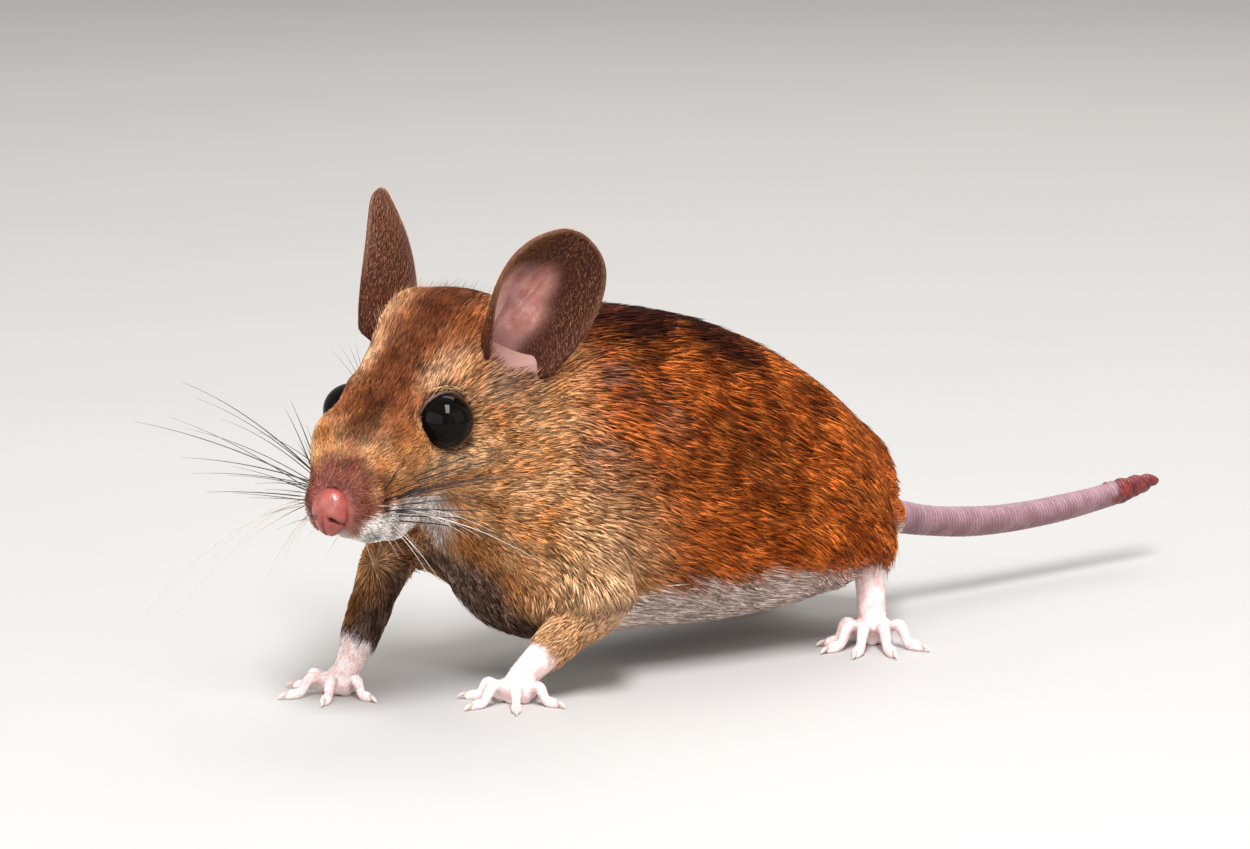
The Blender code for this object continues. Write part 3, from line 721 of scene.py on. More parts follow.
class NodeBench:
    """Lays the nodes of one tree, from simple steps."""

    def __init__(self, tree: bpy.types.NodeTree) -> None:
        """Starts on a tree."""
        self.tree = tree

    def add(self, kind: str, **settings: object) -> bpy.types.Node:
        """Adds a node of a kind and sets its plain properties."""
        node = self.tree.nodes.new(kind)
        for name, value in settings.items():
            setattr(node, name, value)
        return node

    def feed(self, socket: Socket, value: Input) -> None:
        """Links a socket to an input, or writes a constant into it."""
        if isinstance(value, bpy.types.NodeSocket):
            self.tree.links.new(value, socket)
        elif isinstance(value, tuple) and socket.type == "RGBA":
            socket.default_value = (*value[:3], 1.0)
        else:
            socket.default_value = value

    def mix(self, share: Input, first: Input, second: Input, kind: str = "MIX") -> Socket:
        """Goes from the first colour to the second by a share, or joins them by another kind of blend."""
        node = self.add("ShaderNodeMix", data_type="RGBA", blend_type=kind, clamp_factor=True)
        for number, value in ((0, share), (6, first), (7, second)):
            self.feed(node.inputs[number], value)
        return node.outputs[2]

    def sum(self, kind: str, first: Input, second: Input = 0.0) -> Socket:
        """One step of arithmetic, such as MAXIMUM or LESS_THAN."""
        node = self.add("ShaderNodeMath", operation=kind)
        for socket, value in zip(node.inputs, (first, second, 0.0)):
            self.feed(socket, value)
        return node.outputs[0]

    def times(self, first: Input, second: Input) -> Socket:
        """One number times another."""
        return self.sum("MULTIPLY", first, second)

    def span(self, value: Input, low: float, high: float, start: float = 0.0, end: float = 1.0) -> Socket:
        """Maps low..high softly to start..end."""
        node = self.add("ShaderNodeMapRange", interpolation_type="SMOOTHSTEP")
        for socket, number in zip(node.inputs, (value, low, high, start, end)):
            self.feed(socket, number)
        return node.outputs[0]

    def clouds(self, size: float, detail: float, low: float, high: float, first: Input,
               second: Input) -> Socket:
        """Clouds of a second colour in a first one, of a size in millimetres."""
        return self.mix(self.span(self.noise(size, detail), low, high), first, second)

    def three(self, attribute: str) -> tuple[Socket, ...]:
        """The three numbers that a mesh keeps under a name."""
        node = self.add("ShaderNodeAttribute", attribute_name=attribute)
        parts = self.add("ShaderNodeSeparateXYZ")
        self.feed(parts.inputs[0], node.outputs["Vector"])
        return tuple(parts.outputs)

    def pattern(self, kind: str, size: float) -> bpy.types.Node:
        """A pattern node over the object's own space, with features of a size in millimetres."""
        where, mapping, node = (self.add(name) for name in ("ShaderNodeTexCoord", "ShaderNodeMapping", kind))
        self.feed(mapping.inputs["Vector"], where.outputs["Object"])
        self.feed(node.inputs["Vector"], mapping.outputs[0])
        self.feed(node.inputs["Scale"], 1.0 / (size * MM))
        return node

    def noise(self, size: float, detail: float = 4.0) -> Socket:
        """Noise with features of a size in millimetres."""
        node = self.pattern("ShaderNodeTexNoise", size)
        self.feed(node.inputs["Detail"], detail)
        self.feed(node.inputs["Roughness"], 0.55)
        return node.outputs[0]

    def cells(self, size: float) -> Socket:
        """The distance to the nearest of many cell centres, a size in millimetres apart."""
        return self.pattern("ShaderNodeTexVoronoi", size).outputs["Distance"]

    def bump(self, height: Socket, depth: float, strength: float, under: Socket | None = None) -> Socket:
        """A bump of a depth in millimetres, over another one if given."""
        node = self.add("ShaderNodeBump")
        self.feed(node.inputs["Strength"], strength)
        self.feed(node.inputs["Distance"], depth * MM)
        self.feed(node.inputs["Height"], height)
        if under is not None:
            self.feed(node.inputs["Normal"], under)
        return node.outputs[0]


@dataclass(frozen=True)
class MouseColours:
    """The colours of the coat and of the bare skin."""

    buff: Colour = (0.72, 0.395, 0.185)
    orange: Colour = (0.58, 0.245, 0.078)
    temple: Colour = (0.23, 0.050, 0.011)
    rust: Colour = (0.80, 0.215, 0.036)
    deep_rust: Colour = (0.42, 0.086, 0.010)
    dark: Colour = (0.042, 0.0085, 0.004)
    grey: Colour = (0.30, 0.195, 0.155)
    belly: Colour = (0.90, 0.75, 0.68)
    # Painted shade: the dark of the breast between the forelegs.
    breast: Colour = (0.12, 0.073, 0.052)
    white: Colour = (0.97, 0.90, 0.87)
    brow: Colour = (0.92, 0.60, 0.34)
    pink: Colour = (0.38, 0.098, 0.078)
    mauve: Colour = (0.31, 0.105, 0.100)
    foot: Colour = (0.95, 0.78, 0.77)
    light_foot: Colour = (0.97, 0.88, 0.89)
    rim: Colour = (0.035, 0.010, 0.009)

    def group(self) -> bpy.types.NodeTree:
        """The node group that mixes these colours by the marks a mesh keeps."""
        known = bpy.data.node_groups.get("mouse markings")
        if known is not None:
            return known
        tree = bpy.data.node_groups.new("mouse markings", "ShaderNodeTree")
        tree.interface.new_socket("Colour", in_out="OUTPUT", socket_type="NodeSocketColor")
        bench = NodeBench(tree)
        rust, dark, grey = bench.three("marks_back")
        under, white, brow = bench.three("marks_belly")
        pink, foot, rim = bench.three("marks_bare")
        temple, breast, mauve = bench.three("marks_front")
        fine = bench.noise(0.8)
        soft, sharp = bench.span(bench.noise(3.2, 3), 0.38, 0.66), bench.span(fine, 0.35, 0.7)
        colour = bench.mix(soft, self.buff, self.orange)
        for mark, over in (
            (temple, self.temple),
            (rust, bench.mix(soft, self.rust, self.deep_rust)),
            (grey, self.grey),
            (brow, self.brow),
            (under, bench.mix(bench.times(sharp, 0.5), self.belly, self.grey)),
            # The breast mark lays painted shade, streaked with grey.
            (breast, bench.mix(sharp, self.breast, self.grey)),
            (dark, self.dark),
            (white, self.white),
            (mauve, bench.mix(fine, self.mauve, self.temple)),
            (pink, bench.mix(fine, self.pink, self.mauve)),
            (foot, bench.mix(soft, self.foot, self.light_foot)),
            (rim, self.rim),
        ):
            colour = bench.mix(mark, colour, over)
        bench.feed(bench.add("NodeGroupOutput").inputs[0], colour)
        return tree


@dataclass(frozen=True)
class Finish:
    """A finish: its name, and the numbers that are the same all over it."""

    name: str
    roughness: float = 0.5
    gloss: float = 0.4
    coat: float = 0.0
    coat_roughness: float = 0.1
    depth_of_light: float = 0.0

    def material(self) -> bpy.types.Material:
        """Makes the material, once, with its constants set on the shader's own sockets."""
        known = bpy.data.materials.get(self.name)
        if known is not None:
            return known
        made = bpy.data.materials.new(self.name)
        made.use_nodes = True
        shader = made.node_tree.nodes["Principled BSDF"]
        settings = {"Roughness": self.roughness, "Specular IOR Level": self.gloss, "Coat Weight": self.coat,
                    "Coat Roughness": self.coat_roughness}
        if self.depth_of_light:
            settings.update({"Subsurface Weight": self.depth_of_light, "Subsurface Radius": (1.0, 0.35, 0.22),
                             "Subsurface Scale": 0.9 * MM})
        for name, value in settings.items():
            shader.inputs[name].default_value = value
        bench = NodeBench(made.node_tree)
        bench.feed(shader.inputs["Base Color"], self.colour(bench))
        relief = self.relief(bench)
        if relief is not None:
            bench.feed(shader.inputs["Normal"], relief)
        return made

    def colour(self, bench: NodeBench) -> Socket:
        """Lays the nodes of the colour; each kind has its own."""
        raise NotImplementedError

    def relief(self, bench: NodeBench) -> Socket | None:
        """Lays the nodes of the fine relief, where a kind has one."""
        return None


@dataclass(frozen=True)
class CoatFinish(Finish):
    """Hair: slate at the root, its marking's colour along it, and a dark point on some."""

    name: str = "short coat"
    roughness: float = 0.6
    gloss: float = 0.07
    ticked: float = 0.28
    slate: Colour = (0.075, 0.036, 0.028)
    dark_slate: Colour = (0.026, 0.007, 0.004)
    white_root: Colour = (0.85, 0.76, 0.72)
    dark_point: Colour = (0.030, 0.012, 0.009)

    def colour(self, bench: NodeBench) -> Socket:
        """Bands along each tuft, over the markings."""
        marks = bench.add("ShaderNodeGroup", node_tree=MouseColours().group())
        along, chance, shade = bench.three("tuft")
        under, white, _ = bench.three("marks_belly")
        _, dark, _ = bench.three("marks_back")
        slate = bench.mix(white, bench.mix(dark, self.slate, self.dark_slate), self.white_root)
        root = bench.mix(bench.span(along, 0, 0.5, 0.55, 0), marks.outputs[0], slate)
        light = bench.span(shade, 0, 1, 0.45, 1.55)
        tint = bench.add("ShaderNodeCombineColor")
        for socket in tint.inputs:
            bench.feed(socket, light)
        lit = bench.mix(1.0, root, tint.outputs[0], "MULTIPLY")
        point = bench.times(bench.span(along, 0.45, 0.85), bench.sum("LESS_THAN", chance, self.ticked))
        point = bench.times(point, bench.span(bench.sum("MAXIMUM", under, white), 0.2, 0.8, 0.85, 0.15))
        return bench.mix(point, lit, self.dark_point)


@dataclass(frozen=True)
class SkinFinish(Finish):
    """The skin under the coat, and bare on the feet and round the nose."""

    name: str = "skin under the coat"
    gloss: float = 0.35
    depth_of_light: float = 0.12
    shade: Colour = (0.07, 0.035, 0.028)
    blush: Colour = (0.72, 0.33, 0.31)

    def colour(self, bench: NodeBench) -> Socket:
        """The markings, darker where the coat shades them, with a blush on the feet."""
        marks = bench.add("ShaderNodeGroup", node_tree=MouseColours().group())
        pink, foot, _ = bench.three("marks_bare")
        shaded = bench.mix(0.62, marks.outputs[0], self.shade)
        colour = bench.mix(bench.sum("MAXIMUM", pink, foot), shaded, marks.outputs[0])
        clouds = bench.span(bench.noise(0.9, 5), 0.42, 0.62)
        return bench.mix(bench.times(bench.times(clouds, foot), 0.35), colour, self.blush)

    def relief(self, bench: NodeBench) -> Socket:
        """Fine wrinkles with pores on them."""
        return bench.bump(bench.cells(0.45), 0.05, 0.45, bench.bump(bench.noise(0.28, 5), 0.07, 0.6))


@dataclass(frozen=True)
class EarFinish(Finish):
    """Ear skin: pink in the hollow, dark brown over the back and the outer flange, pale at the rim, with
    painted shade deep in the hollow and at the root.
    """

    name: str = "ear skin"
    gloss: float = 0.14
    depth_of_light: float = 0.15
    browns: tuple[Colour, Colour] = ((0.034, 0.0075, 0.0035), (0.070, 0.018, 0.009))
    pinks: tuple[Colour, Colour] = ((0.54, 0.225, 0.185), (0.68, 0.380, 0.340))
    # A darker pink, painted as shade deep in the hollow and at the root.
    shaded_pink: Colour = (0.31, 0.155, 0.155)
    rim: Colour = (0.30, 0.15, 0.10)

    def colour(self, bench: NodeBench) -> Socket:
        """Colours by the marks that the ear keeps, with mottling."""
        pink, rim, deep = bench.three("ear_marks")
        brown = bench.clouds(0.35, 4.0, 0.35, 0.65, *self.browns)
        # The third mark blends in the darker pink of painted shade.
        rosy = bench.mix(deep, bench.clouds(1.6, 4.0, 0.35, 0.65, *self.pinks), self.shaded_pink)
        return bench.mix(bench.times(rim, 0.30), bench.mix(pink, brown, rosy), self.rim)

    def relief(self, bench: NodeBench) -> Socket:
        """Fine creases and pores."""
        return bench.bump(bench.cells(0.16), 0.02, 0.5, bench.bump(bench.noise(0.5, 5), 0.08, 0.5))


@dataclass(frozen=True)
class TailFinish(Finish):
    """Bare tail skin in fine rings of scales, lilac pink, with a raw dark red tip."""

    name: str = "tail skin"
    roughness: float = 0.42
    gloss: float = 0.45
    depth_of_light: float = 0.12
    rings: int = 118
    lilacs: tuple[Colour, Colour] = ((0.33, 0.185, 0.215), (0.23, 0.115, 0.135))
    top: Colour = (0.40, 0.25, 0.31)
    groove: Colour = (0.36, 0.17, 0.20)
    reds: tuple[Colour, Colour] = ((0.24, 0.026, 0.022), (0.085, 0.010, 0.010))

    def ringed(self, bench: NodeBench) -> Socket:
        """Waves from -1 to 1, one for each ring of the tail."""
        along, _, _ = bench.three("tail_marks")
        return bench.sum("SINE", bench.times(along, FULL_TURN * self.rings))

    def colour(self, bench: NodeBench) -> Socket:
        """Lilac with a paler top and darker grooves between the rings, and red at the raw tip."""
        _, raw, top = bench.three("tail_marks")
        skin = bench.clouds(2.0, 4.0, 0.35, 0.65, *self.lilacs)
        skin = bench.mix(bench.times(top, 0.30), skin, self.top)
        groove = bench.span(self.ringed(bench), -1, -0.1, 1, 0)
        skin = bench.mix(bench.times(groove, 0.28), skin, self.groove)
        return bench.mix(raw, skin, bench.clouds(0.8, 5.0, 0.35, 0.65, *self.reds))

    def relief(self, bench: NodeBench) -> Socket:
        """Raised rings with scales on them."""
        return bench.bump(bench.cells(0.30), 0.06, 0.5, bench.bump(self.ringed(bench), 0.05, 0.8))


@dataclass(frozen=True)
class NoseFinish(Finish):
    """The bare moist nose pad."""

    name: str = "moist nose"
    roughness: float = 0.36
    gloss: float = 0.5
    coat: float = 0.4
    coat_roughness: float = 0.16
    depth_of_light: float = 0.2
    pinks: tuple[Colour, Colour] = ((0.38, 0.070, 0.050), (0.26, 0.044, 0.034))
    ridge: Colour = (0.46, 0.165, 0.128)
    # Painted shade in the nostrils and the middle groove.
    hollow: Colour = (0.10, 0.016, 0.014)

    def colour(self, bench: NodeBench) -> Socket:
        """Warm pink, paler on the ridges, and darker in the nostrils and the groove with painted shade."""
        _, hollow, ridge = bench.three("nose_marks")
        colour = bench.clouds(1.1, 4.0, 0.35, 0.68, *self.pinks)
        return bench.mix(hollow, bench.mix(bench.times(ridge, 0.5), colour, self.ridge), self.hollow)

    def relief(self, bench: NodeBench) -> Socket:
        """A pebbled surface."""
        return bench.bump(bench.noise(0.5), 0.05, 0.4, bench.bump(bench.cells(0.22), 0.05, 0.6))


@dataclass(frozen=True)
class EyeFinish(Finish):
    """A wet black eye with a trace of brown."""

    name: str = "wet black eye"
    roughness: float = 0.05
    gloss: float = 0.10
    blacks: tuple[Colour, Colour] = ((0.0020, 0.0014, 0.0016), (0.007, 0.0035, 0.0028))

    def colour(self, bench: NodeBench) -> Socket:
        """Black with faint brown clouds, as through a clear surface."""
        return bench.clouds(1.5, 3.0, 0.45, 0.75, *self.blacks)


@dataclass(frozen=True)
class ClawFinish(Finish):
    """Clear horn, pink at the root."""

    name: str = "claw horn"
    roughness: float = 0.28
    gloss: float = 0.5
    depth_of_light: float = 0.2
    horn: tuple[Colour, Colour] = ((0.66, 0.34, 0.31), (0.80, 0.68, 0.60))
    grain: Colour = (0.45, 0.25, 0.2)

    def colour(self, bench: NodeBench) -> Socket:
        """Pink at the root and pale towards the point, with lengthwise grain."""
        along, _, _ = bench.three("claw_marks")
        horn = bench.mix(bench.span(along, 0.1, 0.7), *self.horn)
        return bench.mix(bench.times(bench.noise(0.15, 3), 0.25), horn, self.grain)

    def relief(self, bench: NodeBench) -> Socket:
        """The grain, faintly raised."""
        return bench.bump(bench.noise(0.15, 3), 0.02, 0.5)


@dataclass(frozen=True)
class WhiskerFinish(Finish):
    """Whiskers: dark at the root, paler to the point, and some white all along."""

    name: str = "whisker"
    roughness: float = 0.35
    gloss: float = 0.5
    darks: tuple[Colour, Colour] = ((0.016, 0.009, 0.008), (0.12, 0.075, 0.05))
    lights: tuple[Colour, Colour] = ((0.66, 0.56, 0.49), (0.84, 0.76, 0.70))

    def colour(self, bench: NodeBench) -> Socket:
        """Colour by the share along each whisker and by its own paleness."""
        along, pale, _ = bench.three("whisker_marks")
        dark = bench.mix(bench.span(along, 0.55, 1), *self.darks)
        light = bench.mix(bench.noise(0.6, 2), *self.lights)
        return bench.mix(bench.times(pale, bench.span(along, 0.16, 0.36)), dark, light)


@dataclass(frozen=True)
class FloorFinish(Finish):
    """A plain pale floor."""

    name: str = "pale floor"
    roughness: float = 0.7
    gloss: float = 0.2
    greys: tuple[Colour, Colour] = ((0.46, 0.45, 0.44), (0.49, 0.48, 0.465))

    def colour(self, bench: NodeBench) -> Socket:
        """Off-white with a faint unevenness."""
        return bench.mix(bench.noise(60.0, 2), *self.greys)


def dress(obj: Item, *finishes: Finish) -> Item:
    """Gives an object its finishes, in the order of its material slots."""
    obj.data.materials.clear()
    for finish in finishes:
        obj.data.materials.append(finish.material())
    return obj


# ---- feet


@dataclass
class Paw:
    """One foot: a palm, digits with knuckles and pads, and claws."""

    anatomy: Anatomy
    kind: PawKind
    side: Side
    headings: dict[tuple[PawKind, Side], float] = by_foot(28.0, 14.0, 42.0, -12.0)
    # of each digit its angle and reach; of each pad its place across and ahead, and its size
    fore_digits: tuple[tuple[float, float], ...] = ((-78, 3.7), (-25, 4.5), (24, 4.5), (76, 3.9))
    hind_digits: tuple[tuple[float, float], ...] = ((-62, 3.9), (-36, 5.6), (-8, 6.3), (22, 6.1), (58, 5.0))
    pads: tuple[Point, ...] = ((-1.25, 0.55, 0.62), (0.0, 1.0, 0.66), (1.25, 0.55, 0.62),
                               (-0.75, -1.15, 0.72), (0.75, -1.15, 0.72))

    @property
    def name(self) -> str:
        """The name of the foot's node."""
        return f"{self.kind.value}_{self.side.value}"

    @property
    def palm(self) -> Array:
        """The middle of the palm, or of the ball of the foot."""
        return np.array(self.anatomy.palms[self.kind, self.side])

    def pointing(self, degrees: float) -> Array:
        """The level direction at an angle from straight ahead, positive to the left side."""
        angle = math.radians(degrees)
        return np.array([math.sin(angle), -math.cos(angle), 0.0])

    def digits(self) -> list[tuple[float, float, float, float]]:
        """The azimuth, reach, radius and arch of each digit."""
        heading = self.headings[self.kind, self.side]
        if self.kind is PawKind.FORE:
            return [(heading + angle, reach, 0.60, 0.45) for angle, reach in self.fore_digits]
        spread = self.side.way * (1.0 if self.side is Side.LEFT else 0.72)
        return [(heading + spread * angle, reach, 0.66, 0.6) for angle, reach in self.hind_digits]

    def digit_line(self, azimuth: float, reach: float, radius: float, arch: float) -> Array:
        """A digit as rows of x, y, z and radius along its middle: pinched between joints, full at the pad."""
        way = self.pointing(azimuth)
        start = self.palm + way * (1.2 if self.kind is PawKind.FORE else 1.3) - (0, 0, 0.2)
        rows = [(*start, radius * 1.08)]
        for share, rise, size in ((0.24, 0.7, 0.84), (0.46, 1.0, 0.98)):
            rows.append((*(start + way * reach * share + (0, 0, arch * rise)), radius * size))
        for share, rise, size in ((0.66, 1.25, 0.78), (0.84, 1.02, 0.98), (1.0, 0.84, 0.70)):
            rows.append((*((start + way * reach * share) * LEVEL + (0, 0, radius * rise)), radius * size))
        return catmull(rows, 6)

    def flesh(self) -> Array:
        """Rows of x, y, z and radius of the balls that fill the foot."""
        palm, rows = self.palm, []
        sole = palm + (0, 0, 0.1)
        ahead = self.pointing(self.headings[self.kind, self.side])
        across = np.array([-ahead[1], ahead[0], 0.0])
        if self.kind is PawKind.FORE:
            elbow, wrist = self.anatomy.forelegs[self.side][2:4]
            rows.extend(catmull([(*elbow, 2.05), (*wrist, 1.5), (*sole, 1.35)], 14))
        else:
            heel = np.array(self.anatomy.hindlegs[self.side][2])
            rows.extend(catmull([(*heel, 1.95), (*((heel + palm) / 2), 1.62), (*sole, 1.5)], 16))
        for sideways in np.linspace(-1.05, 1.05, 9):
            for forward in np.linspace(-0.5, 0.75, 6):
                height = -0.25 - 0.12 * abs(sideways)
                rows.append((*(palm + across * sideways + ahead * forward + (0, 0, height)), 1.12))
        for sideways, forward, size in self.pads:
            pad = palm + across * sideways + ahead * forward
            rows.append((pad[0], pad[1], size * 0.98, size))
        for digit in self.digits():
            line = self.digit_line(*digit)
            rows.extend(catmull(line, 3))
            for share, size in ((0.46, 0.40), (0.86, 0.50)):
                pad = line[int(share * (len(line) - 1))]
                rows.append((pad[0], pad[1], size * 1.02 if share > 0.5 else pad[2] - 0.28, size))
        return np.array(rows)

    def claws(self) -> Item:
        """The claws of this foot, as one piece of small curved cones that grow out of the digits' ends."""
        parts, marks = [], []
        for azimuth, reach, radius, arch in self.digits():
            way = self.pointing(azimuth)
            tip = self.digit_line(azimuth, reach, radius, arch)[-1]
            t = np.linspace(0.0, 1.0, 8)[:, None]
            length = 1.25 if self.kind is PawKind.FORE else 1.4
            hook = UP * (0.22 * np.sin(t * 1.7) - 0.62 * t ** 2)
            line = tip[:3] + (0, 0, 0.16) + way * (t * length - 0.1) + hook
            line[:, 2] = np.maximum(line[:, 2], 0.24)
            width = 0.24 * np.sqrt(np.clip(1.0 - t[:, 0] ** 1.6, 0, 1)) + 0.012
            parts.append(tube(self.anatomy.row(line), width * MM, 8, "claw"))
            marks.append(np.concatenate([np.repeat(t[:, 0], 8), [0.0, 1.0]]))
        claws = join(parts, f"claws_{self.name}")
        keep_numbers(claws.data, "claw_marks", np.concatenate(marks))
        dress(claws, ClawFinish())
        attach(claws, "root")
        return claws


# ---- ears


@dataclass
class Ear:
    """The shell of one ear: rolled at its root, open at its tip, with the folds of its hollow."""

    anatomy: Anatomy
    side: Side
    length: float = 14.2
    half_width: float = 7.3
    root_width: dict[Side, float] = by_side(0.84, 0.92)
    bluntness: dict[Side, float] = by_side(3.4, 1.7)
    roll_root: float = 88.0
    roll_tip: float = 34.0
    hollow: float = 0.8
    flare: float = 1.0
    rows: int = 52
    columns: int = 30
    turned: dict[Side, Point] = by_side((28.0, 22.5, 48.0), (23.0, 25.0, 61.0))
    # of each ridge its height, start and end (across and along), sideways bow and width
    ridges: tuple[tuple, ...] = ((0.55, (-0.62, 0.10), (-0.30, 0.52), 0.06, 0.075),
                                 (0.45, (-0.20, 0.12), (-0.02, 0.44), 0.05, 0.07),
                                 (0.34, (-0.42, 0.30), (0.02, 0.60), -0.05, 0.06))
    creases: tuple[float, ...] = tuple(0.30 + 0.10 * k for k in range(5))

    def across(self, t: float) -> Array:
        """Points across the ear at the share t of its length, from its front edge to its back edge."""
        root = self.root_width[self.side]
        leaf = math.sqrt(max(1 - t ** self.bluntness[self.side], 0.0)) * (
            root + (1 - root) * math.sin(min(t / 0.55, 1.0) * math.pi / 2))
        half = max(self.half_width * leaf, 0.3)
        roll = math.radians(self.roll_tip + (self.roll_root - self.roll_tip) * (1 - t) ** 1.5)
        sweep = self.hollow * math.sin(t * math.pi) - self.flare * t * t
        halves = []
        for way in (-1, 1):
            s = (np.arange(self.columns) + 0.5) / self.columns
            bend = roll * (s + (0.3 if way < 0 else -0.3) * s * s)
            step = half / self.columns
            aside, down = np.cumsum(way * step * np.cos(bend)), -np.cumsum(step * np.sin(bend))
            halves.append(np.stack([aside, down], axis=1))
        row = np.vstack([halves[0][::-1], [[0.0, 0.0]], halves[1]])
        row[:, 1] += sweep
        return row

    def carry(self) -> Matrix:
        """Carries the ear's own frame to the animal's."""
        out, back, turn = self.turned[self.side]
        placed = (
            Matrix.Translation(self.anatomy.ear_root)
            @ Matrix.Rotation(math.radians(out), 4, "Y")
            @ Matrix.Rotation(math.radians(-back), 4, "X")
            @ Matrix.Rotation(math.radians(turn), 4, "Z")
        )
        return self.anatomy.head_matrix() @ Matrix.Diagonal((self.side.way, 1, 1, 1)) @ placed

    def bowl(self, points: Array) -> tuple[Array, Array]:
        """The floor of the hollow before the shell.

        Args:
            points: Points of the head, in millimetres of the animal's frame.

        Returns:
            The points, sunk to the floor where they stand over it, and how much each belongs to the hollow.
        """
        carry = np.array(self.carry())
        own = (points - carry[:3, 3]) @ np.linalg.inv(carry[:3, :3]).T
        gap = np.linalg.norm((own[:, :2] - (0.2, -3.0)) / (1.0, 1.15), axis=1)
        share = (1 - ramp(gap, 3.2, 4.3)) * ramp(own[:, 2], -2.5, -0.5) * (1 - ramp(own[:, 2], 9, 11))
        floor = -0.9 + 0.15 * gap ** 2
        own[:, 2] -= share * np.maximum(own[:, 2] - floor, 0.0)
        return carried(own, carry), share

    def folds(self, s: Array, t: Array) -> Array:
        """How far the inner skin stands out, in millimetres, for ridges, creases and the deep hollow.

        Args:
            s: Places across the ear, -1 at its front edge and 1 at its back edge.
            t: Places along it, 0 at its root.

        Returns:
            The height of each place.
        """
        height = np.zeros_like(s)
        for tall, (s0, t0), (s1, t1), bow, width in self.ridges:
            share = np.clip(((t - t0) / (t1 - t0)), 0, 1)
            middle = s0 + (s1 - s0) * share + bow * np.sin(share * math.pi)
            ends = ramp(t, t0 - 0.06, t0 + 0.08) * (1 - ramp(t, t1 - 0.10, t1 + 0.06))
            height += tall * (spot((s,), (middle,), (width,)) * ends)
        height += 0.70 * spot((s, t), (0.22, 0.17), (0.13, 0.07))
        height -= 0.35 * spot((s, t), (-0.36, 0.26), (0.13, 0.10))
        for crease in self.creases:
            line = np.exp(-((t - crease - 0.10 * s) / 0.018) ** 2)
            height += 0.05 * line * ramp(s, -0.2, 0.2) * ramp(0.95 - s, 0, 0.2)
        return height

    def shell(self) -> Item:
        """Builds the closed shell, with its inner and outer skin and a rounded rim."""
        wide = 2 * self.columns + 1
        middle, t_of, s_of = [], [], []
        for i in range(self.rows + 1):
            t = 1.12 * i / self.rows - 0.12
            up = math.sin(t * math.pi / 2)
            row = self.across(max(up, 0.0)) * (1.0 + 4.0 * min(t, 0.0))
            middle.append(np.column_stack([row, np.full(wide, self.length * up)]))
            t_of.append(np.full(wide, t))
            s_of.append(np.linspace(-1, 1, wide))
        middle, t, s = np.array(middle), np.array(t_of), np.array(s_of)
        face = unit(np.cross(np.gradient(middle, axis=1), np.gradient(middle, axis=0)))
        if face[self.rows // 2, self.columns, 1] > 0:
            face = -face
        edge = np.minimum(ramp(1 - np.abs(s), 0, 0.22), ramp(1 - t, 0, 0.14))
        half = 0.13 + 0.13 * edge + 0.08 * (1 - t) + 0.08 * np.exp(-((1 - np.abs(s)) / 0.05) ** 2)
        inner = middle + face * (half + edge * self.folds(s, t))[..., None]
        outer = middle - face * half[..., None]
        rim_line = np.concatenate([np.arange(self.rows + 1) * wide,
                                   self.rows * wide + np.arange(1, wide),
                                   (np.arange(self.rows)[::-1] + 1) * wide - 1])
        edge_line = middle.reshape(-1, 3)[rim_line]
        rim_out = np.cross(unit(np.gradient(edge_line, axis=0)), face.reshape(-1, 3)[rim_line])
        away = edge_line - middle[self.rows // 2, self.columns]
        rim_out *= np.sign((rim_out * away).sum(axis=1, keepdims=True))
        rim = edge_line + rim_out * 0.17
        count = wide * (self.rows + 1)
        points = np.vstack([inner.reshape(-1, 3), outer.reshape(-1, 3), rim])
        faces = []
        i, j = np.meshgrid(np.arange(self.rows), np.arange(wide - 1), indexing="ij")
        a = (i * wide + j).ravel()
        faces.append(np.stack([a, a + 1, a + wide + 1, a + wide], axis=1))
        faces.append(np.stack([a, a + wide, a + wide + 1, a + 1], axis=1) + count)
        k = np.arange(len(rim_line) - 1)
        middle_rim = 2 * count + k
        here, onward = rim_line[k], rim_line[k + 1]
        faces.append(np.stack([here, onward, middle_rim + 1, middle_rim], axis=1))
        faces.append(np.stack([middle_rim, middle_rim + 1, onward + count, here + count], axis=1))
        root = np.arange(wide - 1)
        faces.append(np.stack([root + 1, root, root + count, root + count + 1], axis=1))
        placed = self.anatomy.row(carried(points, self.carry()))
        ear = mesh_object(f"ear_{self.side.value}_shell", placed, np.vstack(faces))
        weld(ear, 0.002, face_out=True)
        self.mark(ear, t.ravel(), s.ravel(), placed[:count])
        return ear

    def mark(self, ear: Item, t: Array, s: Array, inner: Array) -> None:
        """Keeps where the ear is pink, where its rim is, and where painted shade darkens the deep hollow and
        the root.

        Args:
            ear: The shell.
            t: The share of the length at each place of the inner skin.
            s: The place across, from -1 to 1.
            inner: The places of the inner skin, in metres of the row frame.
        """
        tree = KDTree(len(inner))
        for number, point in enumerate(inner):
            tree.insert(point, number)
        tree.balance()
        found = [tree.find(point) for point in points_of(ear.data)]
        near = np.array([f[1] for f in found])
        gap = np.array([f[2] for f in found]) / MM
        t, s = t[near], s[near]
        inside = 1 - ramp(gap, 0.12, 0.25)
        pink = inside * ramp(0.30 - 2.4 * np.maximum(t - 0.34, 0.0) ** 1.5 - s, -0.14, 0.22)
        pink *= 1 - ramp(t - 0.12 * s, 0.32, 0.56)
        pink = np.maximum(pink, inside * spot((s, t), (0.22, 0.17), (0.16, 0.10)))
        pink *= 1 - 0.8 * spot((s,), (-1.0,), (0.12,))
        rim = np.maximum(ramp(np.abs(s), 0.93, 0.99) * ramp(t, 0.15, 0.35), ramp(t, 0.90, 0.97))
        # Painted shade: a darker pink deep in the hollow and at the ear's root.
        deep = spot((s, t), (-0.40, 0.20), (0.16, 0.11)) + 0.8 * ramp(0.12 - t, 0, 0.1)
        keep_numbers(ear.data, "ear_marks", pink, rim, inside * np.clip(deep, 0, 1))


# ---- tail


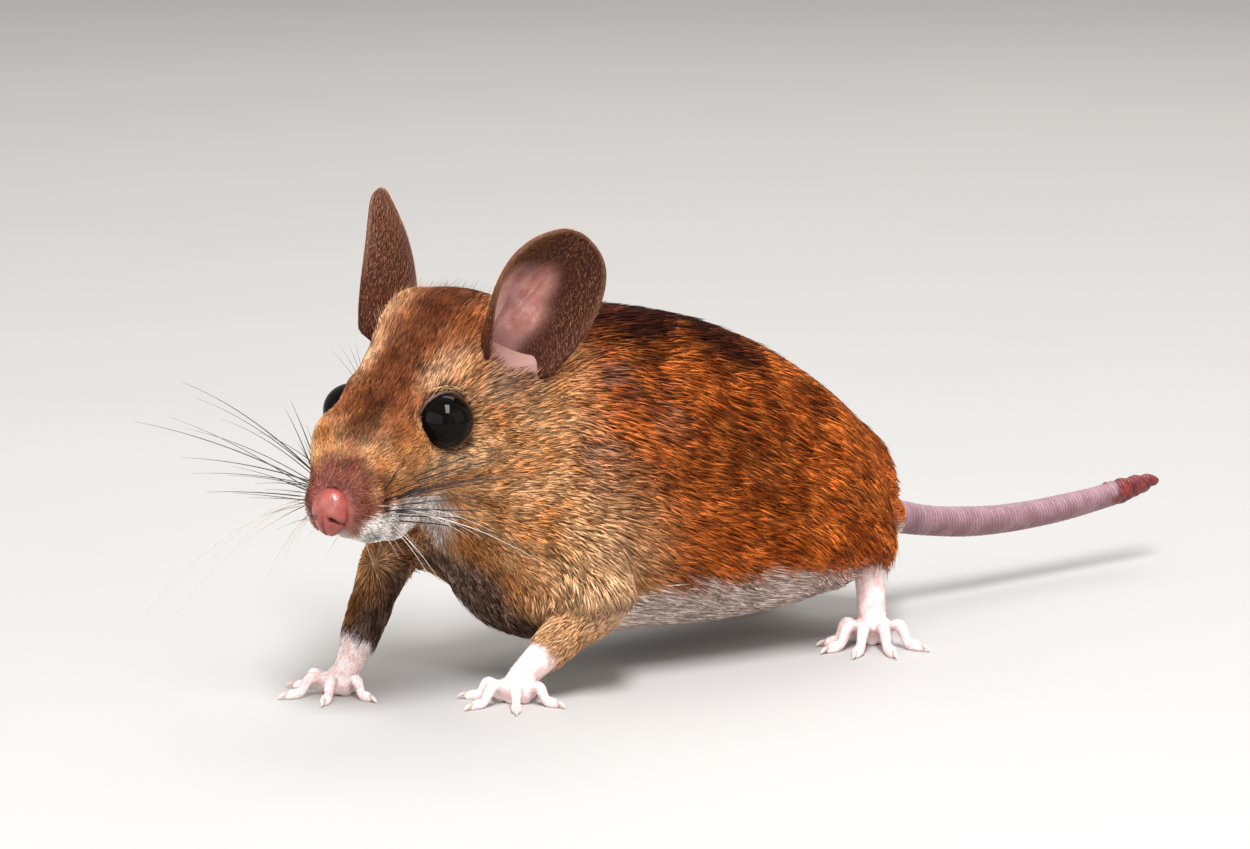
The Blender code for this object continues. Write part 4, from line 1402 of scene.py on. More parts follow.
@dataclass
class Tail:
    """The bare tail: fine rings of scales along it, and a raw tip."""

    anatomy: Anatomy
    route: tuple[Point, ...] = ((0.0, 50.0, 13.0), (0.0, 58.0, 10.8), (0.0, 66.0, 8.9), (0.0, 74.0, 7.9),
                                (0.0, 82.0, 7.7), (0.0, 90.5, 8.1), (0.0, 97.0, 8.8), (0.0, 101.5, 9.3))
    radii: tuple[float, ...] = (2.5, 1.92, 1.68, 1.60, 1.52, 1.42, 1.22, 0.55)
    sides: int = 32
    swellings: int = 59
    raw_from: float = 93.6
    blunt_from: float = 99.2

    def flesh(self) -> Item:
        """Builds the tail as a tube of rings, each a little swollen, that narrows to a blunt torn end."""
        rows = catmull([(*p, r) for p, r in zip(self.route, self.radii)], 44)
        line, radius = rows[:, :3], rows[:, 3].copy()
        along = np.concatenate([[0.0], np.cumsum(np.linalg.norm(np.diff(line, axis=0), axis=1))])
        along /= along[-1]
        radius *= 1 + 0.012 * np.sin(along * FULL_TURN * self.swellings) + 0.02 * Ripple(23, 9.0).at(line)
        end = np.clip((line[:, 1] - self.blunt_from) / 2.3, 0, 1)
        radius *= np.sqrt(np.clip(1 - 0.86 * end ** 2, 0, 1))
        tail = tube(self.anatomy.row(line), radius * MM, self.sides, "tail_flesh")
        points = self.anatomy.mm(points_of(tail.data))
        normals = normals_of(tail.data)
        raw = ramp(points[:, 1] + 0.7 * Ripple(29, 2.0).at(points), self.raw_from - 0.5, self.raw_from + 0.6)
        points += normals * (raw * 0.10 * Ripple(31, 1.3).at(points))[:, None]
        put_points(tail.data, self.anatomy.row(points))
        share = np.concatenate([np.repeat(along, self.sides), [0.0, 1.0]])
        keep_numbers(tail.data, "tail_marks", share, raw, ramp(normals[:, 2], 0, 0.8))
        return tail


# ---- the skin


@dataclass
class Skin:
    """One skin for all the flesh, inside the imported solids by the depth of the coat."""

    anatomy: Anatomy
    markings: Markings
    paws: list[Paw]
    swell: float = 0.22
    body_voxel: float = 0.42
    fine_voxel: float = 0.18
    most_triangles: int = 150_000
    trunk_coat: float = 1.35
    low_coat: float = 0.85
    leg_coat: float = 0.40
    furred: tuple[str, ...] = ("head", "neck", "chest", "belly", "rump", "foreleg_left", "foreleg_right",
                               "hindleg_left", "hindleg_right", "whiskers_left", "whiskers_right")

    def depth(self, points: Array) -> Array:
        """How deep the skin lies under the tips of the coat at points, in millimetres."""
        a = self.anatomy
        leg, _ = a.legness(points)
        deep = blend(np.full(len(points), self.trunk_coat), self.low_coat, ramp(points[:, 2], 8, 3))
        deep = blend(deep, 0.16 + 0.70 * ramp(a.to_head(points)[:, 1], -9, 9), a.headness(points))
        deep = blend(deep, self.leg_coat, leg)
        return blend(deep, self.leg_coat, ramp(points[:, 1], 50, 55))

    def body(self) -> Item:
        """Melts copies of the furred solids into one surface and sinks it by the depth of the coat."""
        a = self.anatomy
        copies = []
        for name in self.furred:
            copy = place("flesh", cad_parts[name].data.copy())
            copies.append(copy)
            if name.startswith("whiskers"):
                h = a.to_head(a.mm(points_of(copy.data)))
                centre = a.beside(Side(name.split("_")[1]), a.pad_at)
                h[np.linalg.norm((h - centre) / a.pad_radii, axis=1) > 1.02] = centre * (0.72, 1, 1)
                put_points(copy.data, a.row(a.from_head(h)))
        body = join(copies, "body_flesh")
        weld(body, 0.001)
        wider = body.modifiers.new("wider", "DISPLACE")
        wider.mid_level = 0.0
        wider.strength = self.swell * MM
        apply_modifiers(body)
        eyes = np.array([a.eye(side) for side in Side])
        lips = [a.beside(side, (3.3, y, z)) for side in Side for y, z in ((-7.0, -8.3), (-5.0, -8.2))]
        fill = balls(a.row(a.from_head(np.vstack([eyes, lips, [a.nose_at]]))),
                     np.array([a.eye_radius - 0.15] * 2 + [2.3] * 4 + [1.5]) * MM, "fill", 4)
        body = melt(join([body, fill], "body_flesh"), self.body_voxel, 14)
        points, normals = a.mm(points_of(body.data)), normals_of(body.data)
        sunk = self.swell + self.depth(points) + self.hollows(points)
        points -= normals * sunk[:, None]
        for side in Side:
            points, _ = Ear(a, side).bowl(points)
        put_points(body.data, a.row(points))
        return soften(body, 4)

    def hollows(self, points: Array) -> Array:
        """How much deeper the skin lies, in millimetres: below 0 beside the snout, where it is fuller."""
        a = self.anatomy
        h = a.to_head(points)
        deeper = np.zeros(len(points))
        for side in Side:
            full = np.linalg.norm((h - a.beside(side, (4.4, -4.6, -0.9))) / (2.8, 4.6, 2.8), axis=1)
            eye = gap_to(h, a.eye(side)) - a.eye_radius
            deeper -= 1.45 * np.exp(-full ** 2) * ramp(eye, 0, 1.3)
        return deeper

    def lids(self) -> Item:
        """Balls along both rims of each eye: a thin lid on the eyeball and a softer fold round it."""
        a = self.anatomy
        rows = []
        for side in Side:
            centre = a.eye(side)
            axis = unit(a.gaze(side))
            ahead = unit(np.array([side.way * 0.34, 0.93, 0.0]) * (1, -1, 1))
            ahead = unit(ahead - axis * (ahead @ axis))
            upward = np.cross(axis, ahead)
            if upward[2] < 0:
                upward = -upward
            for angle in np.linspace(0.0, FULL_TURN, 96, endpoint=False):
                corner = math.cos(angle)
                pinch = (9.0 if corner > 0 else 1.0) * abs(corner)
                tilt = 84.0 + 5.0 * corner ** 2 + pinch - 2.0 * math.sin(angle)
                round_eye = corner * ahead + math.sin(angle) * upward
                for gap, more, size in ((0.02, 4.0, 0.20), (0.12, 13.0, 0.30)):
                    polar = math.radians(tilt + more)
                    way = math.cos(polar) * axis + math.sin(polar) * round_eye
                    rows.append((*(centre + (a.eye_radius + gap) * way), size))
        rows = np.array(rows)
        return balls(a.row(a.from_head(rows[:, :3])), rows[:, 3] * MM, "lids")

    def sculpt(self, skin: Item) -> None:
        """Presses the mouth line and the groove under the nose into the skin, and keeps it above the floor."""
        a = self.anatomy
        points, normals = a.mm(points_of(skin.data)), normals_of(skin.data)
        h = a.to_head(points)
        lips = catmull([(0.0, -11.0, -8.2), (1.4, -10.1, -8.9), (2.6, -8.3, -9.1), (3.5, -6.2, -8.5),
                        (4.0, -4.4, -7.7)], 6)
        distance, _, _ = along_line(np.column_stack([np.abs(h[:, 0]), h[:, 1:]]), lips)
        press = 0.42 * np.exp(-(distance / 0.32) ** 2)
        groove, _, _ = along_line(h, np.array([(0.0, -12.1, -7.4), (0.0, -11.0, -8.4)]))
        press = np.maximum(press, 0.30 * np.exp(-(groove / 0.25) ** 2))
        points -= normals * press[:, None]
        points[:, 2] = np.maximum(points[:, 2], -a.shift[2])
        put_points(skin.data, a.row(points))

    def build(self) -> Item:
        """Builds the skin of the body and feet with the eyelids, presses in the mouth and thins it out."""
        a = self.anatomy
        rows = np.vstack([paw.flesh() for paw in self.paws])
        feet = balls(a.row(rows[:, :3]), rows[:, 3] * MM, "feet_flesh")
        skin = melt(join([self.body(), self.lids(), feet], "skin"), self.fine_voxel, 4)
        self.sculpt(skin)
        triangles = sum(len(face.vertices) - 2 for face in skin.data.polygons)
        fewer = skin.modifiers.new("fewer", "DECIMATE")
        fewer.ratio = min(1.0, self.most_triangles / triangles)
        apply_modifiers(skin)
        shade_smooth(skin)
        return skin

    def finish(self, skin: Item, ears: list[Ear], tail: Tail) -> Item:
        """Joins ears and tail to the skin and gives each region its finish.

        Args:
            skin: The skin of the body and feet.
            ears: Both ears.
            tail: The tail.

        Returns:
            The whole skin.
        """
        shells = [ear.shell() for ear in ears]
        bare = tail.flesh()
        counts = [len(skin.data.polygons), *(len(o.data.polygons) for o in shells), len(bare.data.polygons)]
        a = self.anatomy
        for obj in (*shells, bare):
            for name in self.markings.kept_as:
                keep_numbers(obj.data, name)
        self.markings.store(skin.data, a.mm(points_of(skin.data)), normals_of(skin.data))
        whole = join([skin, *shells, bare], "skin")
        dress(whole, SkinFinish(), EarFinish(), TailFinish())
        slots = np.repeat([0, 1, 1, 2], counts).astype(np.int32)
        whole.data.polygons.foreach_set("material_index", slots)
        whole.data.update()
        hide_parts(*self.furred, *(paw.name for paw in self.paws), "ear_left", "ear_right",
                    "tail_base", "tail_middle", "tail_end", "tail_tip")
        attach(whole, "root")
        return whole


# ---- eyes, nose and whiskers


@dataclass
class Eye:
    """One bulging eye."""

    anatomy: Anatomy
    side: Side
    dome: float = 0.07

    def build(self) -> Item:
        """Builds the eyeball with its clear front a little more domed than the rest."""
        a = self.anatomy
        node = f"eye_{self.side.value}"
        centre = a.from_head(np.array([a.eye(self.side)]))[0]
        deselect()
        bpy.ops.mesh.primitive_uv_sphere_add(segments=72, ring_count=40, radius=a.eye_radius * MM,
                                             location=(0, 0, 0))
        eye = bpy.context.object
        eye.name = eye.data.name = f"{node}_ball"
        points = points_of(eye.data)
        points[:, 2] += ramp(points[:, 2] / (a.eye_radius * MM), 0.45, 1) * self.dome * MM
        put_points(eye.data, points)
        way = Vector(a.turn_from_head(np.array([a.gaze(self.side)]))[0])
        turn = way.to_track_quat("Z", "Y").to_matrix().to_4x4()
        eye.data.transform(Matrix.Translation(Vector(a.row(centre)) + way * 0.1 * MM) @ turn)
        shade_smooth(eye)
        dress(eye, EyeFinish())
        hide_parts(node)
        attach(eye, "root")
        return eye


@dataclass
class Nose:
    """The bare nose pad, with its nostrils and middle groove."""

    anatomy: Anatomy
    radii: Point = (2.0, 1.6, 2.4)
    tipped: float = -18.0

    def build(self) -> Item:
        """Builds the pad from a sphere: broad above, narrow below, grooved between its two pierced sides."""
        a = self.anatomy
        deselect()
        bpy.ops.mesh.primitive_uv_sphere_add(segments=96, ring_count=64, radius=1.0, location=(0, 0, 0))
        pad = bpy.context.object
        pad.name = pad.data.name = "nose_pad"
        p = points_of(pad.data)
        n = p.copy()
        x, z = p[:, 0], p[:, 2]
        front = ramp(-p[:, 1], -0.1, 0.5)
        p[:, 0] *= 1 - 0.26 * ramp(-z, 0, 1) + 0.04 * ramp(z, 0, 0.8)
        wide = np.abs(x)
        groove = spot((x,), (0.0,), (0.085,)) * ramp(0.25 - z, 0, 0.5) * front
        hole = spot((wide, z + 0.20 + 0.25 * (wide - 0.5)), (0.52, 0.0), (0.17, 0.105))
        hole *= ramp(-p[:, 1], 0, 0.4)
        slit = spot((wide, z + 0.28 + 0.55 * (wide - 0.7)), (0.76, 0.0), (0.15, 0.06))
        hollow = np.clip(hole + 0.8 * slit, 0, 1)
        bulge = 0.10 * spot((wide, z), (0.55, 0.14), (0.24, 0.26))
        bulge += 0.06 * spot((x, z), (0.0, 0.6), (0.5, 0.3))
        p += n * (bulge * front - 0.17 * groove - 0.42 * hollow)[:, None]
        p *= self.radii
        turn = np.array(Matrix.Rotation(math.radians(self.tipped), 3, "X"))
        put_points(pad.data, a.row(a.from_head(p @ turn.T + np.array(a.nose_at))))
        # The second mark is painted shade in the nostrils and the groove.
        keep_numbers(pad.data, "nose_marks", groove, np.clip(hollow * 1.3 + 0.4 * groove, 0, 1),
                     np.clip(bulge * 8, 0, 1))
        shade_smooth(pad)
        dress(pad, NoseFinish())
        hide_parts("nose")
        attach(pad, "root")
        return pad


@dataclass
class Whiskers:
    """Long whiskers from one pad of the muzzle, and a few short ones above the eye and on the chin."""

    anatomy: Anatomy
    side: Side
    from_middle: float = 3.6
    sides: int = 5
    steps: int = 16
    thickness: float = 0.080
    # of each long whisker the place of its root, then its reach, sweep, lift and sag
    long_roots: tuple[tuple[float, float], ...] = (
        (-8.2, -4.7), (-8.8, -5.3), (-7.6, -5.7), (-9.0, -6.3), (-7.9, -6.8), (-8.7, -7.4)
    )
    long_ones: dict[Side, tuple[tuple[float, ...], ...]] = by_side(
        ((9.0, -0.50, 1.22, 0.25), (21.0, -0.20, 0.58, 0.14), (19.5, -0.10, 0.53, 0.14),
         (16.0, -0.20, 0.45, 0.19), (21.5, -0.20, 0.32, 0.26), (7.0, -0.15, -0.05, 0.60)),
        ((14.5, -0.15, 1.00, 0.37), (18.7, -0.25, 0.52, 0.20), (17.0, -0.10, 0.20, 0.16),
         (12.5, -0.20, 0.05, 0.10), (21.5, -0.25, -0.20, 0.50), (8.0, -0.15, -0.45, 0.77)),
    )

    def hairs(self) -> list[tuple[Array, float, float]]:
        """The line of each whisker, as for the left side of the head, its thickness and its paleness."""
        t = np.linspace(0.0, 1.0, self.steps)[:, None]
        dice = np.random.default_rng(41 if self.side is Side.LEFT else 43)
        made = []

        def add(start: Point, reach: float, way: Point, sag: float, thick: float, pale: float) -> None:
            """Adds one whisker that reaches outwards and sags by a share of its reach."""
            fall = UP * (sag * reach) * t ** 2
            made.append((np.array(start) + np.array(way) * reach * t - fall, thick, pale))

        rows = zip(self.long_roots, self.long_ones[self.side])
        for number, ((y, z), (reach, sweep, lift, sag)) in enumerate(rows):
            pale = float(number > 3)
            add((self.from_middle, y, z), reach, (1.0, sweep, lift), sag, 1.0 - 0.2 * pale, pale)
            for shorter in (0.84, 0.68, 0.5):
                along, up, swing, rise, bend = dice.uniform(-1.0, 1.0, 5)
                add((self.from_middle, y + 0.9 * along, z + 0.35 * up), reach * (shorter + 0.06 * bend),
                    (1.0, sweep + 0.14 * swing, lift + 0.13 * rise), sag + 0.06 * bend, 0.72, pale)
        for k in range(16):
            along, up, swing, rise, bend = dice.uniform(-1.0, 1.0, 5)
            add((2.9, -9.4 + 1.4 * along, -7.0 + 1.6 * up), 3.4 + 1.4 * bend,
                (1.0, -0.35 + 0.3 * swing, 0.1 + 0.55 * up + 0.2 * rise), 0.25, 0.5, float(k % 3 == 0))
        for k in range(8):
            along, up, swing, rise, bend = dice.uniform(-1.0, 1.0, 5)
            add((3.6, -8.3 + 0.9 * along, -4.4 - 0.38 * k), 12.5 + 1.6 * bend,
                (0.84, 0.80 + 0.08 * swing, 0.36 - 0.085 * k + 0.03 * rise), 0.16, 1.1, 0.0)
        for k in range(4):
            add((3.4 + 0.4 * k, -1.6 + 0.9 * k, 3.8), 3.2 - 0.4 * k, (0.62, 0.25 * k - 0.2, 1.05), 0.12, 0.3,
                0.0)
            add((1.0 + 0.5 * k, -9.0 + 1.1 * k, -9.0), 3.4, (0.6, -0.35 + 0.2 * k, -0.75), 0.15, 0.6, 1.0)
        return made

    def build(self) -> Item:
        """Builds one side's whiskers as thin tapered curves that start in the flesh."""
        a = self.anatomy
        parts, marks = [], []
        share = np.linspace(0.0, 1.0, self.steps)
        for line, thick, pale in self.hairs():
            line = a.from_head(line * (self.side.way, 1, 1))
            line[:, 2] = np.maximum(line[:, 2], 0.6)
            width = self.thickness * thick * (1 - 0.86 * share ** 1.1)
            parts.append(tube(a.row(line), width * MM, self.sides, "whisker"))
            along = np.concatenate([np.repeat(share, self.sides), [0.0, 1.0]])
            marks.append(np.stack([along, np.full(len(along), pale)]))
        piece = join(parts, f"whiskers_{self.side.value}_hairs")
        keep_numbers(piece.data, "whisker_marks", *np.hstack(marks))
        dress(piece, WhiskerFinish())
        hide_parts(f"whiskers_{self.side.value}")
        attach(piece, "root")
        return piece


# ---- the coat


@dataclass(frozen=True)
class Growth:
    """How hair grows at many roots: one row for each root."""

    length: Array
    width: Array
    height: Array
    cling: Array
    clump: Array
    contrast: Array


@dataclass(frozen=True)
class Down:
    """Sparse fine hairs of one kind: how many to a square millimetre, how they lie, and their size in mm."""

    name: str
    seed: int
    close: float
    way: Point
    length: float
    width: float
    lift: float = 0.35
    pale: float = 1.0


@dataclass
class Coat:
    """Short tapered tufts over the skin, along the lie of the hair."""

    anatomy: Anatomy
    markings: Markings
    skin: Skin
    thickness: float
    seed: int = 101
    most_in_piece: int = 19_400
    on_trunk: float = 11.5
    on_face: float = 40.0
    on_legs: float = 26.0
    by_tail: float = 20.0
    guard_hairs: float = 0.05
    to_a_clump: int = 13

    def closeness(self, points: Array) -> Array:
        """How many tufts grow on a square millimetre at points."""
        a = self.anatomy
        h = a.to_head(points)
        leg, _ = a.legness(points)
        face = self.on_face + 22.0 * ramp(-h[:, 1], 0, 9) - 14.0 * ramp(h[:, 1], 3, 14)
        close = blend(np.full(len(points), self.on_trunk), face, a.headness(points))
        close = blend(close, self.on_legs, leg)
        close = blend(close, self.by_tail, ramp(points[:, 1], 51, 55))
        close *= ramp(gap_to(h, np.array([0.0, -11.7, -5.8])), 2, 3.2)
        for side in Side:
            close *= ramp(gap_to(h, a.eye(side)), a.eye_radius + 0.10, a.eye_radius + 0.30)
            close *= 1 - ramp(Ear(a, side).bowl(points)[1], 0, 0.4)
        return close * (1 - a.footness(points)) * self.thickness

    def growth(self, points: Array) -> Growth:
        """How the hair grows at points: its length, width and height, and how it clings and clumps."""
        a = self.anatomy
        _, y, z = points.T
        h = a.to_head(points)
        head, (leg, _) = a.headness(points), a.legness(points)
        length = blend(4.4 + 1.2 * ramp(y, 5, 30), 0.75 + 2.7 * ramp(h[:, 1], -9.5, 13), head)
        length = blend(length, 1.7, leg)
        length = blend(length, 1.7, ramp(y, 52, 56.5))
        width = blend(np.full(len(points), 0.20), 0.062 + 0.085 * ramp(h[:, 1], -9, 12), head)
        width = blend(width, 0.105, leg)
        height = self.skin.depth(points) * blend(1.0, 0.92, head)
        hang = (1 - head) * ramp(9.0 - z, 0, 4)
        breast = (1 - head) * ramp(12.0 - y, 0, 6) * ramp(18.0 - z, 0, 5)
        cling = 0.97 - 0.25 * np.maximum(hang, breast) * (1 - leg)
        clump = blend(0.34 + 0.2 * breast, 0.30, head)
        return Growth(length, width, height, cling, clump, blend(0.12, 0.24, head))

    def lie(self, points: Array, normals: Array) -> Array:
        """The direction along the skin in which the hair lies."""
        a = self.anatomy
        x, y, z = points.T
        wide = np.abs(x)
        head, (leg, down) = a.headness(points), a.legness(points)
        h = a.to_head(points)
        way = np.stack([0.015 * x, np.ones(len(x)), -0.42 * ramp(wide, 2, 10)], axis=1)
        breast = ramp(14.0 - y, 0, 10) * ramp(20.0 - z, 0, 8)
        way = blend(way, np.array([0.0, 0.45, -1.0]), breast[:, None])
        way[:, 2] -= 0.55 * (ramp(y, 32, 42) * ramp(wide, 4, 10))
        to_tail = unit(np.array([0.0, 70.0, 8.0]) - points)
        way = blend(way, to_tail, ramp(y, 46, 53)[:, None])

        face = unit(h - np.array([0.0, -14.0, -4.8]))
        face = blend(face, np.array([0.0, 1.0, -0.10]), ramp(h[:, 1], 0, 12)[:, None])
        face[:, 2] -= 0.28 * ramp(np.abs(h[:, 0]), 4, 8) * ramp(h[:, 1], 1, 8)
        for side in Side:
            off = h - a.eye(side)
            gap = np.linalg.norm(off, axis=1) - a.eye_radius
            aside = unit(off)
            forward = (aside * face).sum(axis=1, keepdims=True)
            turn = aside - np.minimum(forward, 0.0) * face
            face += turn * (1.1 * np.exp(-np.maximum(gap, 0.0) / 1.3))[:, None]
            by_ear = np.exp(-(np.linalg.norm(h - a.beside(side, a.ear_root) - UP, axis=1) / 3.6) ** 2)
            face += np.array([side.way * 0.35, 0.15, 0.95]) * (1.1 * by_ear)[:, None]
        way = blend(way, a.turn_from_head(face), head[:, None])
        way = blend(way, down, leg[:, None])
        swirl = np.stack([Ripple(seed, 8.0).at(points) for seed in (61, 62, 63)], axis=1)
        way = unit(way) + 0.13 * swirl
        way -= normals * (way * normals).sum(axis=1, keepdims=True)
        return unit(way)

    def sample(self, mesh: Mesh, close: Array, seed: int) -> tuple[Array, Array]:
        """Scatters roots over a mesh.

        Args:
            mesh: The mesh, in metres.
            close: How many roots a square millimetre gets at each point of the mesh.
            seed: The seed of the scatter.

        Returns:
            The roots in millimetres of the animal's frame, and the directions that the skin faces there.
        """
        dice = np.random.default_rng(seed)
        points, normals, faces = self.anatomy.mm(points_of(mesh)), normals_of(mesh), triangles_of(mesh)
        a, b, c = (points[faces[:, k]] for k in range(3))
        area = np.linalg.norm(np.cross(b - a, c - a), axis=1) / 2
        weight = area * close[faces].mean(axis=1)
        total = int(weight.sum())
        ends = np.cumsum(weight)
        places = (np.arange(total) + dice.random(total)) * ends[-1] / total
        chosen = faces[np.clip(np.searchsorted(ends, places), 0, len(faces) - 1)]
        u, v = dice.random((2, total))
        over = u + v > 1
        u, v = np.where(over, 1 - u, u), np.where(over, 1 - v, v)
        shares = np.stack([1 - u - v, u, v], axis=1)[..., None]
        return (points[chosen] * shares).sum(axis=1), unit((normals[chosen] * shares).sum(axis=1))

    def onto(self, surface: BVHTree, points: Array) -> tuple[Array, Array]:
        """The nearest places of the skin to points, and the directions that it faces there."""
        found = [surface.find_nearest(point)[:2] for point in self.anatomy.row(points)]
        return self.anatomy.mm(np.array([f[0] for f in found])), np.array([f[1] for f in found])

    def tufts(self, name: str, rows: dict[str, Array], chart: Array, fine: bool = False) -> None:
        """Builds tufts as one piece.

        Args:
            name: The name of the piece.
            rows: For each tuft its root, middle and tip, how the skin faces there, its width and its chances.
            chart: Where each root lies on the unwrap of the skin, from 0 to 1 both ways.
            fine: Whether each is a straight point without a middle.
        """
        root, middle, tip = rows["root"], rows["middle"], rows["tip"]
        count = len(root)
        ways = unit(tip - root)
        width = rows["width"][:, None]

        def ring(centre: Array, facing: Array, share: float) -> Array:
            """Three points round a tuft, flat against the skin."""
            across = unit(np.cross(ways, facing))
            up = np.cross(across, ways)
            half = width * share / 2
            aside, lift = across * half, up * half
            corners = (centre - aside - lift * 0.35, centre + aside - lift * 0.35, centre + lift * 0.75)
            return np.stack(corners, axis=1)

        if fine:
            rings = [ring(root, rows["facing"], 1.0)]
            shape = np.array([(0, 2, 1), (0, 1, 3), (1, 2, 3), (2, 0, 3)])
        else:
            rings = [ring(root, rows["facing"], 0.72), ring(middle, rows["middle_facing"], 1.0)]
            shape = np.array([(0, 2, 1), (0, 1, 4), (0, 4, 3), (1, 2, 5), (1, 5, 4), (2, 0, 3), (2, 3, 5),
                              (3, 4, 6), (4, 5, 6), (5, 3, 6)])
        points = np.concatenate([*rings, tip[:, None]], axis=1)
        each = points.shape[1]
        along = np.tile(np.append(np.repeat(np.arange(len(rings)) / len(rings), 3), 1.0), count)
        sideways = np.tile(np.append(np.tile((-0.5, 0.5, 0.0), len(rings)), 0.0), count)
        faces = (shape[None] + (np.arange(count) * each)[:, None, None]).reshape(-1, 3)
        piece = mesh_object(name, self.anatomy.row(points.reshape(-1, 3)), faces)
        mesh = piece.data
        keep_numbers(mesh, "tuft", along, np.repeat(rows["chance"], each), np.repeat(rows["shade"], each))
        self.markings.store(mesh, root, rows["facing"], each)
        patch = np.repeat(chart, each, axis=0) + 0.003 * np.stack([sideways, along], axis=1)
        layer = mesh.uv_layers.new(name=UNWRAP)
        layer.data.foreach_set("uv", np.ascontiguousarray(patch[faces.ravel()], np.float32).ravel())
        dress(piece, CoatFinish())
        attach(piece, "root")
        LOG.info("%s: %d tufts, %d triangles", name, count, len(faces))

    def chart(self, around: Array, along: Array) -> Array:
        """An unwrap from an angle round the body and a place along it, filled out to the whole map."""
        both = []
        for values in (around, along):
            low, high = values.min(), values.max()
            both.append(0.01 + 0.97 * (values - low) / max(high - low, 1e-6))
        return np.stack(both, axis=1)

    def regions(self, points: Array, normals: Array) -> list[tuple[str, Array, Array, Array]]:
        """Parts the coat into pieces.

        Args:
            points: The roots.
            normals: The directions that the skin faces there.

        Returns:
            For each piece its name, its roots, and their angles round the body and places along it.
        """
        a = self.anatomy
        x, y, z = points.T
        h = a.to_head(points)
        head = a.headness(points) > 0.5
        leg, _ = a.legness(points)
        parts, left = [], np.ones(len(points), bool)

        def take(name: str, which: Array, around: Array, along: Array) -> None:
            """Gives the roots that are left and chosen to a piece, in halves while they are too many."""
            chosen = np.flatnonzero(which & left)
            left[chosen] = False
            pieces = max(1, math.ceil(len(chosen) / self.most_in_piece))
            order = chosen[np.argsort(along[chosen], kind="stable")]
            for k, part in enumerate(np.array_split(order, pieces)):
                label = name if pieces == 1 else f"{name}_{k + 1}"
                if len(part):
                    parts.append((label, part, around[part], along[part]))

        for label, lines, low in (("foreleg", a.forelegs, 14.0), ("hindleg", a.hindlegs, 12.5)):
            for side in Side:
                line = np.array(lines[side][1:])
                distance, share, _ = along_line(points, line)
                middle = line.mean(axis=0)
                take(f"coat_{label}_{side.value}", (leg > 0.5) & (distance < 6.5) & (z < low),
                     np.arctan2(x - middle[0], middle[1] - y), share)
        head_angle = np.arctan2(h[:, 0], h[:, 2] + 2.5)
        take("coat_muzzle", head & (h[:, 1] < -4.5), head_angle, h[:, 1])
        take("coat_crown", head & (h[:, 2] > 2.5) & (h[:, 1] > -1.0), head_angle, h[:, 1])
        take("coat_face_left", head & (h[:, 0] >= 0), head_angle, h[:, 1])
        take("coat_face_right", head, np.abs(head_angle), h[:, 1])
        under = np.arctan2(x, 15.0 - z)
        over = np.arctan2(x, z - 15.0)
        take("coat_belly", (normals[:, 2] < -0.45) & (y > 6.0), under, y)
        for name, start in (("coat_rump", 36.0), ("coat_back", 18.0), ("coat_shoulder", -99.0)):
            take(f"{name}_left", (y >= start) & (x >= 0), over, y)
            take(f"{name}_right", y >= start, over, y)
        return parts

    def grow(self, skin: Item, surface: BVHTree) -> None:
        """Grows the coat over the body.

        Args:
            skin: The skin of the body and feet.
            surface: The same skin, to lay the tufts along.
        """
        close = self.closeness(self.anatomy.mm(points_of(skin.data)))
        root, facing = self.sample(skin.data, close, self.seed)
        count = len(root)
        LOG.info("coat: %d tufts", count)
        dice = np.random.default_rng(self.seed + 1)
        how = self.growth(root)
        way = self.lie(root, facing)
        across = np.cross(facing, way)
        way = unit(way + across * dice.normal(0, 0.15, (count, 1)))
        guard = (dice.random(count) < self.guard_hairs)[:, None]
        length = (how.length * dice.uniform(0.72, 1.18, count))[:, None] * np.where(guard, 1.22, 1.0)
        height = (how.height * dice.uniform(0.50, 1.02, count))[:, None] * np.where(guard, 1.12, 1.0)
        cling = how.cling[:, None]

        first = root + way * length * 0.5
        on_first, facing_first = self.onto(surface, first)
        first = blend(first, on_first, cling) + facing_first * height * 0.78
        onward = unit(on_first - root)
        last = on_first + onward * length * 0.52
        on_last, facing_last = self.onto(surface, last)
        last = blend(last, on_last, cling) + facing_last * height
        seeds = dice.choice(count, count // self.to_a_clump, replace=False)
        tree = KDTree(len(seeds))
        for number, seed in enumerate(seeds):
            tree.insert(root[seed], number)
        tree.balance()
        nearest = seeds[np.array([tree.find(p)[1] for p in root])]
        pull = how.clump[:, None] * ramp(how.length[:, None], 0.8, 2)
        gathered = last[nearest] + (root - root[nearest]) * 0.35
        away = np.linalg.norm(gathered - last, axis=1, keepdims=True)
        pull = np.where(away < 0.45 * length, pull, 0.0)
        last = blend(last, gathered, pull)
        first = blend(first, first[nearest] + (root - root[nearest]) * 0.8, pull * 0.4)
        width = how.width * dice.uniform(0.75, 1.25, count)
        chance = dice.random(count)
        shade = 0.5 + how.contrast * (dice.normal(size=count) + 0.8 * Ripple(71, 1.8).at(root))
        rows = {"root": root - facing * 0.05, "middle": first, "tip": last, "facing": facing,
                "middle_facing": facing_first, "width": width, "chance": chance,
                "shade": np.clip(shade, 0, 1)}
        for name, chosen, around, along in self.regions(root, facing):
            self.tufts(name, {key: value[chosen] for key, value in rows.items()}, self.chart(around, along))

